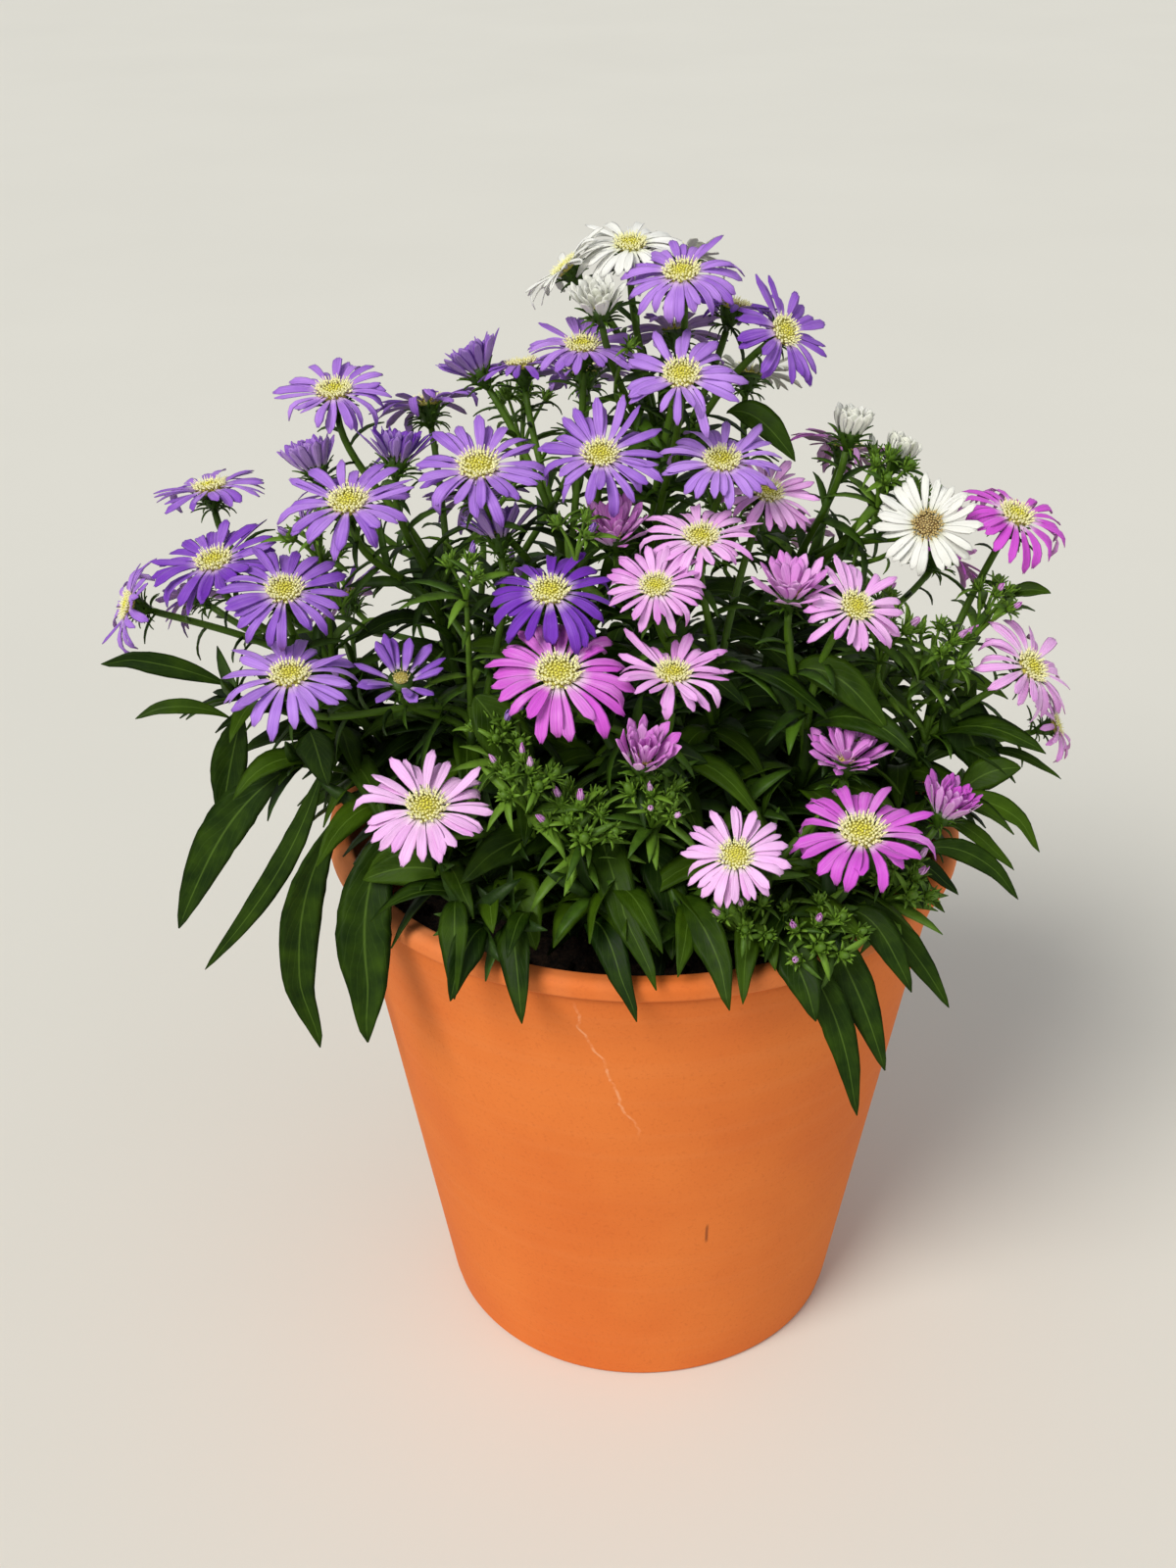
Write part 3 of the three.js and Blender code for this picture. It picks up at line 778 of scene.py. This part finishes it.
def make_open_flower(flower):
    name = flower["name"]
    kind, short = name.split("_")[0], name.replace("_flower_", " ")
    rng = seeded(name)
    flower["disc"] = 0.32 * flower["reach"] * rng.uniform(0.95, 1.05)
    tint = DEPTH_OF_COLOR.get(short, rng.uniform(0.25, 0.6))
    rays, disc, cup = Cloud(), Cloud(), Cloud()
    bend = DROOPING.get(short, rng.uniform(-0.75, -0.25))
    curling = CURLING.get(short, 0.12)
    add_rays(rays, rng, flower, tint, int(rng.integers(24, 30)), rng.uniform(0.12, 0.24), bend, curling)
    add_disc(disc, rng, flower, OLD.get(short, 0.0))
    add_cup(cup, rng, flower)
    rays.piece(name + "_rays", PETALS[kind], kind + "_petals", [name])
    disc.piece(name + "_disc", DISC, kind + "_petals")
    cup.piece(name + "_cup", BRACT, "stems")


def make_half_open(flower, kind, label):
    """A half-open flower: its rays stand up round a disc that hardly shows yet."""
    rng = seeded(label)
    flower["disc"] = HALF_OPEN_CUP
    openness = smooth(flower["reach"], 0.0055, 0.0115)
    layers = ((0, 9), (1, 5)) if openness > 0.9 else ((0, 12), (1, 10), (2, 8), (3, 5))
    rays, disc, cup = Cloud(), Cloud(), Cloud()
    length = flower["reach"] * (1.0 + 0.25 * (1 - openness)) * (0.8 if kind == "white" else 1.0)
    basis = basis_of(flower["facing"], rng.uniform(0, TAU))
    tint = rng.uniform(0.35, 0.75)
    for layer, count in layers:
        for i in range(count):
            turn = TAU * (i + rng.uniform(-0.3, 0.3)) / count + layer
            lift = 1.25 - 0.65 * openness + 0.12 * layer + rng.normal(0, 0.07)
            spot = flower["place"] + basis[:, 2] * (-0.0018 + 0.0005 * layer)
            width = rng.uniform(0.0028, 0.0037)
            root = 0.0034 - 0.0009 * layer
            ray_length = length * rng.uniform(0.84, 1.0) * (1 - 0.08 * layer)
            bend = 0.30 - 0.55 * openness + rng.normal(0, 0.12)
            hue = tint + rng.normal(0, 0.08)
            add_ray(rays, rng, spot, basis, turn, root, ray_length, width, lift, bend, hue, 7, 5)
    add_disc(disc, rng, {**flower, "disc": HALF_OPEN_DISC}, 0.5, 24)
    add_cup(cup, rng, flower, 0.22, 24)
    rays.piece(label + "_rays", PETALS[kind], kind + "_petals")
    disc.piece(label + "_disc", DISC, kind + "_petals")
    cup.piece(label + "_cup", BRACT, "stems")


# ---- stems and leaves ----


def main_stem(kind, flowers):
    """The stem's Bezier controls: it leaves the crown upwards and bends over towards its flowers."""
    crown = np.array([*CROWNS[kind], SOIL_CROWN])
    middle = np.mean([f["place"] for f in flowers], axis=0)
    fork = crown + FORK_SHARE * (middle - crown)
    rise = fork[2] - crown[2]
    return [crown, crown + UP * 0.35 * rise, fork - UP * 0.45 * rise, fork]


def twig_controls(stem, flower, order, count):
    """A twig leaves the stem's upper part and meets the flower from behind."""
    start = bezier(stem, 101)[round(100 * (1 - 0.3 * order / count))]
    end = flower["place"] - flower["facing"] * RECEPTACLE * 0.97
    length = np.linalg.norm(end - start)
    ahead = unit(stem[3] - stem[2])
    return [start, start + 0.35 * length * ahead, end - 0.35 * length * flower["facing"], end]


def length_of(spine):
    return np.linalg.norm(np.diff(spine, axis=0), axis=1).sum()


def point_on(spine, k):
    """The point that lies k rows along a spine."""
    i = int(k)
    return spine[i] + (k - i) * (spine[min(i + 1, len(spine) - 1)] - spine[i])


def arched(foot, tip, arch, rows):
    return bezier([foot, foot + 0.45 * (tip - foot) + UP * 2 * arch, tip], rows)


def clears_pot(spine, half_width):
    """Whether a leaf keeps out of the pot's wall and off the soil."""
    radius = np.hypot(spine[:, 0], spine[:, 1])
    low = spine[:, 2] < POT_HEIGHT + 0.003
    inside = radius < side_radius(spine[:, 2]) - POT_WALL - half_width
    outside = radius > POT_LIP_R + 0.5 * half_width
    buried = (radius < POT_LIP_R) & (spine[:, 2] < SOIL_CROWN + 0.002)
    return not np.any(low & ~inside & ~outside) and not np.any(buried)


def clears_flowers(spine):
    """Whether a leaf keeps out of every open flower, and out of the space right in front of its face."""
    for flower in FLOWERS:
        off = spine - flower["place"]
        ahead = off @ flower["facing"]
        aside = np.linalg.norm(off - ahead[:, None] * flower["facing"], axis=1)
        if np.any((ahead > -0.003) & (ahead < FACE_SPACE) & (aside < 0.9 * flower["reach"])):
            return False
    return True


def add_leaf(cloud, rng, foot, tip, width, arch, tint, rows=12, columns=5, face=UP, roll=0.3, bow=0.0):
    """A lance-shaped leaf: folded a little along its midrib, with wavy edges and a slightly curled tip.
    bow bends it sideways, as a share of its length."""
    foot, tip = np.asarray(foot, float), np.asarray(tip, float)
    spine = arched(foot, tip, arch, rows)
    u = np.linspace(0, 1, rows)
    level = tip - foot
    across = unit(np.cross(level, face))
    reach = np.linalg.norm(level)
    bend = rng.normal(0, 0.04) * u**2 + bow * np.sin(math.pi * u) + rng.normal(0, 0.03) * smooth(u, 0.75, 1)
    spine = spine + across * (reach * bend)[:, None]
    outline = np.sin(math.pi * u ** rng.uniform(0.85, 1.15)) ** 0.95
    uneven = 1 + rng.normal(0, 0.018, rows)
    blade_width = width * (0.10 + 0.90 * outline * uneven)
    blade_width[-1] = 0.03 * width
    roll = roll * (rng.normal() + rng.normal() * u)
    tangent = unit(np.gradient(spine, axis=0))
    normal = unit(np.cross(across[None], tangent))
    turned_across = across * np.cos(roll)[:, None] + normal * np.sin(roll)[:, None]
    v = np.linspace(-1, 1, columns)
    ripple = np.sin(TAU * (2.2 * u + rng.random()))[:, None] * v[None] ** 2 * np.sign(v)[None]
    relief = blade_width[:, None] * (rng.uniform(0.05, 0.18) * np.abs(v)[None] + 0.035 * ripple)
    add_blade(cloud, spine, turned_across, blade_width, relief, LEAF_THICKNESS, tint)


def grow_leaf(cloud, rng, foot, turn, size, width, tint):
    """A leaf that grows towards one bearing. It stands steeper where the pot or a flower is near, and is
    left out where no lift keeps it clear."""
    out = np.array([math.cos(turn), math.sin(turn), 0])
    droop = rng.uniform(-0.25, 0.15)
    for lift in (droop, droop + 0.3, 0.5, 0.8):
        tip = foot + out * size * (1 - 0.4 * abs(lift)) + UP * size * lift
        arch = 0.22 * size * max(1 - lift, 0.2)
        spine = arched(foot, tip, arch, 14)
        if clears_pot(spine, 0.4 * width) and clears_flowers(spine):
            add_leaf(cloud, rng, foot, tip, width, arch, tint)
            return


def add_stem_leaves(leaves, rng, stem, tint):
    """Leaves all round a stem, longest near the soil, with smaller ones between them."""
    points = bezier(stem, 201)
    count = int(length_of(points) // LEAF_SPACING)
    for i in range(2, 4 * count + 1):
        along = i / (4 * count)
        foot = points[round(200 * along)]
        whole = i % 4 == 0
        turn = i / 4 * GOLDEN_TURN if whole else i * GOLDEN_TURN + 1.1
        size = (LOW_LEAF + (HIGH_LEAF - LOW_LEAF) * along) * (1.0 if whole else SMALL_LEAF)
        size *= rng.uniform(0.85, 1.1)
        width = LEAF_SLIMNESS * size * rng.uniform(0.9, 1.25)
        grow_leaf(leaves, rng, foot, turn, size, width, tint + rng.uniform(-0.2, 0.25) + 0.2 * along)


def add_shoot(wood, leaves, bracts, rng, crown, end):
    """A low leafy side shoot without flowers."""
    end = np.asarray(end, float) * MM
    level = np.linalg.norm((end - crown)[:2])
    rise = crown + 0.45 * (end - crown) + UP * (0.012 + 0.10 * level)
    spine = bezier([crown, rise, end], SHOOT_ROWS)
    add_tube(wood, spine, np.linspace(0.0016, 0.0010, SHOOT_ROWS), 7, 0.5)
    count = int(length_of(spine) / SHOOT_LEAF_SPACING)
    turn = rng.uniform(0, TAU)
    for i in range(count):
        along = 0.22 + 0.76 * i / count
        foot = point_on(spine, along * (SHOOT_ROWS - 1))
        turn += GOLDEN_TURN
        size = rng.uniform(0.042, 0.058) * (1 - 0.45 * along**2)
        width = size * rng.uniform(0.22, 0.29)
        grow_leaf(leaves, rng, foot, turn, size, width, rng.uniform(0.05, 0.55) + 0.2 * along)
    # a tuft of young leaves at the shoot's end
    basis = basis_of(spine[-1] - spine[-2] + UP * 0.004)
    for i in range(7):
        size = rng.uniform(0.009, 0.021)
        lift = 0.6 + 0.09 * i + rng.normal(0, 0.15)
        width = size * rng.uniform(0.22, 0.30)
        bend = rng.uniform(-1.2, -0.2)
        hue = rng.uniform(0.1, 0.5)
        bearing = turn + i * GOLDEN_TURN
        add_bract(bracts, end, basis, bearing, 0.0006, size, width, lift, bend, hue, free=True)


# Where the low side shoots end, in mm: they fill the pot's mouth and carry the leaves at its rim
SHOOTS = {
    "violet": [
        (-106, -38, 226), (-84, -50, 216), (-64, -70, 206), (-50, -84, 200), (-100, 2, 224), (-92, 36, 220),
        (-68, 64, 214), (-38, 84, 208), (-34, -56, 226), (-62, -30, 236), (-128, -20, 240), (-60, 20, 232),
    ],
    "pink": [
        (-38, -86, 200), (-14, -84, 208), (12, -86, 200), (38, -86, 200), (54, -82, 202), (76, -58, 206),
        (94, -34, 212), (28, -62, 224), (98, -12, 222), (-2, -54, 232), (56, -46, 236), (10, -30, 240),
    ],
    "white": [
        (94, 26, 222), (78, 58, 214), (50, 82, 210), (14, 92, 210), (82, 6, 240), (-8, 66, 230),
        (52, 48, 236),
    ],
}

# The leaves that show most, beside those of the frame: foot and tip in mm, width, and arch above the chord
FEATURE_LEAVES = [
    ((-130, -25, 247), (-167, -32, 256), 7, 3), ((-101, -48, 243), (-97, -52, 226), 13, 3),
    ((-128, -34, 240), (-156, -40, 242), 5, 4), ((-55, -86, 207), (-53, -109, 188), 9, 7),
    ((-46, -88, 199), (-55, -110, 188), 10, 6), ((-39, -86, 200), (-35, -111, 181), 10, 8),
    ((-41, -72, 208), (-31, -92, 194), 14, 4), ((-20, -50, 220), (-3, -110, 190), 12, 14),
    ((-16, -84, 198), (-3, -112, 182), 10, 11), ((-2, -60, 217), (12, -92, 196), 13, 6),
    ((10, -80, 204), (26, -111, 187), 11, 8), ((32, -82, 199), (29, -110, 188), 8, 6),
    ((-17, -60, 217), (-54, -84, 214), 12, 5), ((-52, -72, 204), (-84, -72, 206), 11, 5),
    ((-60, -64, 211), (-84, -70, 203), 8, 5), ((-15, -58, 232), (18, -66, 246), 12, 5),
    ((-49, -62, 262), (-33, -70, 234), 15, 3), ((38, -90, 200), (50, -111, 183), 12, 5),
    ((60, -80, 201), (80, -96, 184), 9, 7), ((55, -82, 204), (45, -100, 196), 10, 4),
    ((72, -70, 202), (90, -77, 199), 5, 4), ((78, -60, 208), (95, -66, 197), 5, 3),
    ((84, -54, 206), (116, -57, 192), 7, 7), ((90, -44, 212), (114, -48, 193), 5, 5),
    ((94, -38, 214), (125, -41, 203), 7, 6), ((95, -16, 238), (109, -26, 214), 17, 4),
    ((100, -30, 214), (118, -30, 222), 10, 3), ((106, -5, 240), (94, -14, 222), 9, 3),
    ((24, -6, 329), (44, -16, 317), 9, 5), ((110, -12, 272), (124, -16, 275), 5, 2),
    ((-8, -40, 262), (30, -56, 258), 11, 8), ((44, -44, 262), (72, -58, 250), 11, 7),
]


def add_twig_leaves(bracts, rng, spine, first=0.12, largest=0.020):
    """Small narrow leaves along a twig, smaller towards the flower."""
    tangent = unit(np.gradient(spine, axis=0))
    count = max(int(length_of(spine) / TWIG_LEAF_SPACING), 3)
    turn = rng.uniform(0, TAU)
    for i in range(count):
        share = first + (0.99 - first) * i / (count - 1)
        k = share * (len(spine) - 1)
        spot = point_on(spine, k)
        basis = basis_of(tangent[int(k)])
        turn += GOLDEN_TURN
        size = (largest - (largest - 0.009) * share) * rng.uniform(0.75, 1.2)
        lift = rng.uniform(0.5, 0.95)
        width = size * rng.uniform(0.17, 0.22)
        bend = -rng.uniform(0.6, 1.4)
        hue = rng.uniform(0.2, 0.75)
        add_bract(bracts, spot, basis, turn, 0.0004, size, width, lift, bend, hue, free=True)


def add_bud(cloud, rays, rng, place, direction, size, tint):
    """A closed bud: a round core wrapped in bracts. Rays close over its mouth when it is about to open."""
    basis = basis_of(direction, rng.uniform(0, TAU))
    core = size * np.array([(0, -1), (0.5, -0.8), (0.66, -0.1), (0.4, 0.7), (0, 1)])
    add_turned(cloud, core, 8, place, basis, tint=0.5)
    for i in range(15):
        row = i % 3
        turn = i * GOLDEN_TURN
        spot = place + basis[:, 2] * size * (-0.8 + 0.32 * row)
        lift = 1.2 - 0.2 * (2 - row) + rng.normal(0, 0.1)
        bend = rng.uniform(-0.3, 0.45) if row else rng.uniform(-1.4, -0.6)
        hue = rng.uniform(0.4, 1)
        add_bract(cloud, spot, basis, turn, 0.48 * size, 1.3 * size, 0.42 * size, lift, bend, hue, rows=4)
    if rays is not None:
        for i in range(8):
            spot = place + basis[:, 2] * size * 0.3
            length = 1.3 * size * rng.uniform(0.8, 1.1)
            root, width, turn = 0.30 * size, 0.42 * size, i * GOLDEN_TURN
            add_ray(rays, rng, spot, basis, turn, root, length, width, 1.45, 0.5, tint, 5, 3)


# Clusters of green buds that stand among the flowers: place in mm, bearing, lean, spread in mm and buds
BUD_CLUSTERS = {
    "violet": [
        (-42, -66, 256, -95, 20, 9, 6), (-100, -22, 300, -100, 20, 8, 4), (-52, -50, 300, -90, 12, 7, 3),
        (-20, -48, 312, -90, 10, 7, 4), (-40, 40, 322, 90, 20, 10, 5), (-112, 44, 262, 150, 30, 10, 5),
        (-50, 92, 240, 110, 36, 11, 6),
    ],
    "pink": [
        (-34, -86, 250, -95, 26, 10, 7), (-18, -86, 238, -85, 24, 12, 9), (4, -88, 246, -80, 24, 9, 7),
        (52, -98, 206, -80, 40, 13, 9), (30, -96, 210, -95, 36, 10, 6), (78, -80, 214, -60, 36, 10, 6),
        (92, -30, 268, -40, 28, 10, 6), (108, -18, 278, -30, 20, 9, 5), (72, -34, 276, -80, 12, 9, 5),
        (84, 70, 240, 45, 36, 10, 5), (30, 86, 268, 80, 30, 10, 5),
    ],
    "white": [(74, -2, 314, -60, 14, 9, 5), (88, 6, 300, -10, 26, 9, 5), (-10, -4, 352, -100, 14, 8, 4),
              (10, 84, 262, 90, 34, 10, 5)],
}


def make_bud_clusters(kind, stems):
    rng = seeded(kind + "_buds")
    green, rays = Cloud(), Cloud()
    for x, y, z, bearing, lean, spread, count in BUD_CLUSTERS[kind]:
        place, direction = np.array([x, y, z]) * MM, facing(bearing, lean)
        spread *= MM
        root = place - direction * 2.4 * spread
        points = np.concatenate([bezier(stem, 60) for stem in stems])
        start = points[np.argmin(np.linalg.norm(points - (root - UP * 0.02), axis=1))]
        rise = UP * 0.25 * np.linalg.norm(root - start)
        spine = bezier([start, start + rise, root - direction * 0.01, root], 12)
        add_tube(green, spine, np.linspace(0.0011, 0.0008, 12), 7, 0.5)
        add_twig_leaves(green, rng, spine, 0.2)
        basis = basis_of(direction, rng.uniform(0, TAU))
        for i in range(count):
            share = math.sqrt((i + 0.4) / count)
            turn = i * GOLDEN_TURN
            out = basis @ np.array([math.cos(turn), math.sin(turn), 0])
            tip = place + out * spread * share - direction * spread * 0.35 * share**2
            if not clears_flowers(tip[None]):
                continue
            way = unit(direction + 0.7 * share * out)
            fork, bend = root + direction * 0.8 * spread, tip - way * 0.7 * spread
            branch = bezier([root, fork, bend, tip - way * 0.0022], 8)
            add_tube(green, branch, np.linspace(0.0007, 0.0005, 8), 5, 0.6)
            add_twig_leaves(green, rng, branch, 0.15)
            size = rng.uniform(0.0020, 0.0030)
            add_bud(green, rays if i % 3 == 0 else None, rng, tip, way, size, rng.uniform(0.3, 0.8))
    green.piece(kind + "_buds", BUD, "stems")
    rays.piece(kind + "_bud_tips", PETALS[kind], kind + "_petals")


def make_plant(kind, sprays):
    """A plant's stems, twigs and leaves, and its half-open flowers."""
    wood, leaves, bracts = Cloud(), Cloud(), Cloud()
    rng = seeded(kind)
    crown = np.array([*CROWNS[kind], SOIL_CROWN])
    profile = MM * np.array([(0, -12), (5, -11), (7.8, -1), (7.2, 3), (4, 4.5), (0, 5)])
    add_turned(wood, profile, 16, crown, tint=0.1)
    stems = []
    for letter, flowers in sprays.items():
        stem = main_stem(kind, flowers)
        stems.append(stem)
        spine = bezier(stem, STEM_ROWS)
        wobble = np.cumsum(rng.normal(0, 0.0003, (STEM_ROWS, 3)), axis=0)
        wobble *= np.sin(np.linspace(0, math.pi, STEM_ROWS))[:, None]
        add_tube(wood, spine + wobble, np.linspace(0.0021, 0.0015, STEM_ROWS), 9, 0.25)
        add_stem_leaves(leaves, rng, stem, 0.2)
        half_open = [
            {"place": np.array(row[:3]) * MM, "facing": facing(*row[3:5]), "reach": row[5] * MM}
            for row in HALF_OPEN[kind].get(letter, [])
        ]
        twigs = [(f, i, len(flowers)) for i, f in enumerate(flowers)]
        twigs += [(f, i + 0.5, len(half_open) + 1) for i, f in enumerate(half_open)]
        for flower, order, count in twigs:
            spine = bezier(twig_controls(stem, flower, order, count), 18)
            add_tube(wood, spine, np.linspace(0.0013, 0.0011, 18), 8, 0.6)
            add_twig_leaves(bracts, rng, spine, largest=0.026)
        for i, flower in enumerate(half_open):
            make_half_open(flower, kind, f"{kind}_half_open_{letter}{i + 1}")
    for end in SHOOTS[kind]:
        add_shoot(wood, leaves, bracts, rng, crown, end)
    wood.piece(kind + "_stems", TWIG, "stems", [kind + "_aster_stems"])
    leaves.piece(kind + "_leaves", LEAF, "leaves")
    bracts.piece(kind + "_twig_leaves", BRACT, "stems")
    make_bud_clusters(kind, stems)


# How far the rim's leaves bow sideways, as a share of their length
RIM_LEAF_BOW = {
    "rim_leaf_1": 0.05, "rim_leaf_2": -0.06, "rim_leaf_3": 0.09, "rim_leaf_4": 0.09, "rim_leaf_6": -0.06,
}


def make_rim_leaf(name):
    """A long leaf that follows its solid in the frame. The solid is rings of three corners from foot to
    tip, and the two corners of a ring that lie farthest apart are the leaf's edges."""
    co = np.unique(np.round([v.co[:] for v in NODES[name].data.vertices], 6), axis=0)
    corners = co[np.argsort(-co[:, 2] + 0.6 * np.hypot(co[:, 0], co[:, 1]))]
    foot, tip = corners[:3].mean(axis=0), corners[-3:].mean(axis=0)
    sides = co[:, None] - co[None]
    level = unit(tip - foot)
    flat = np.abs(sides @ level) < 0.12 * np.linalg.norm(sides, axis=2)
    widths = np.where(flat, np.linalg.norm(sides, axis=2), 0)
    i, j = np.unravel_index(np.argmax(widths), widths.shape)
    width = widths[i, j]
    chord = (co - foot) @ level
    off = (co - foot)[:, 2] - chord * level[2]
    arch = 0.9 * off.max()
    cloud = Cloud()
    rng = seeded(name)
    bow = RIM_LEAF_BOW.get(name, 0.0)
    add_leaf(cloud, rng, foot, tip, width, arch, 0.3, 24, 7, LEAF_FACE, roll=0.08, bow=bow)
    cloud.piece(name + "_blade", LEAF, "leaves", [name])


def make_feature_leaves():
    rng = seeded("feature leaves")
    cloud = Cloud()
    for foot, tip, width, arch in FEATURE_LEAVES:
        tint = rng.uniform(0.15, 0.7)
        foot, tip = np.array(foot) * MM, np.array(tip) * MM
        add_leaf(cloud, rng, foot, tip, width * MM, arch * MM, tint, 18, 7, LEAF_FACE, roll=0.15)
    cloud.piece("feature_leaves", LEAF, "leaves")


# ---- stage ----


def make_floor():
    mesh = bpy.data.meshes.new("floor")
    mesh.from_pydata([(-8, -3, 0), (8, -3, 0), (8, 9, 0), (-8, 9, 0)], [], [(0, 1, 2, 3)])
    floor = bpy.data.objects.new("floor", mesh)
    bpy.context.scene.collection.objects.link(floor)
    f = Finish("floor", 0.75)
    f.color(f.mix(f.noise(3.0), (220, 218, 208), (226, 224, 214)))
    mesh.materials.append(f.material)


def make_sun(name, toward, angle, strength, color):
    """A soft distant light that comes from one direction."""
    light = bpy.data.lights.new(name, "SUN")
    light.angle = math.radians(angle)
    light.energy = strength
    light.color = color
    lamp = bpy.data.objects.new(name, light)
    lamp.matrix_world = matrix_of(basis_of(toward), (0, 0, 1))
    bpy.context.scene.collection.objects.link(lamp)


def matrix_of(basis, place):
    rows = [[*basis[i], place[i]] for i in range(3)]
    return Matrix(rows + [[0, 0, 0, 1]])


def make_camera():
    """The camera stands in front of the pot and looks down at it by 29 degrees."""
    place = (0.0, -0.5713, 0.5155)
    yaw, pitch, roll = (math.radians(a) for a in (-1.85, 28.99, -0.48))
    ahead = np.array([math.sin(yaw) * math.cos(pitch), math.cos(yaw) * math.cos(pitch), -math.sin(pitch)])
    right = unit(np.cross(ahead, UP))
    top = np.cross(right, ahead)
    c, s = math.cos(roll), math.sin(roll)
    right, top = right * c + top * s, top * c - right * s
    camera = bpy.data.cameras.new("camera")
    camera.lens = 45
    camera.sensor_width = 36
    camera.clip_start = 0.01
    view = bpy.data.objects.new("camera", camera)
    view.matrix_world = matrix_of(np.stack([right, top, -ahead], axis=1), place)
    bpy.context.scene.collection.objects.link(view)
    bpy.context.scene.camera = view


def make_stage():
    make_camera()
    make_floor()
    make_sun("key", (-0.55, -0.75, 0.95), 28, 2.5, (1.0, 0.98, 0.94))
    make_sun("fill", (0.9, -0.7, 0.5), 60, 0.3, (0.94, 0.97, 1.0))
    world = bpy.data.worlds.new("studio")
    world.use_nodes = True
    world.node_tree.nodes["Background"].inputs[0].default_value = linear(226, 228, 232)
    world.node_tree.nodes["Background"].inputs[1].default_value = 0.52
    bpy.context.scene.world = world
    bpy.context.scene.view_settings.view_transform = "Standard"


# ---- the whole plant ----

make_stage()
make_pot()
make_soil()
FLOWERS = [read_flower(node) for node in sorted(NODES) if "_flower_" in node]
sprays = {"violet": {}, "pink": {}, "white": {}}
for flower in FLOWERS:
    kind, letter = flower["name"].split("_")[0], flower["name"].split("_")[2][0]
    sprays[kind].setdefault(letter, []).append(flower)
    make_open_flower(flower)
for node in sorted(NODES):
    if node.startswith("rim_leaf"):
        make_rim_leaf(node)
make_feature_leaves()
for kind, letters in sprays.items():
    make_plant(kind, letters)
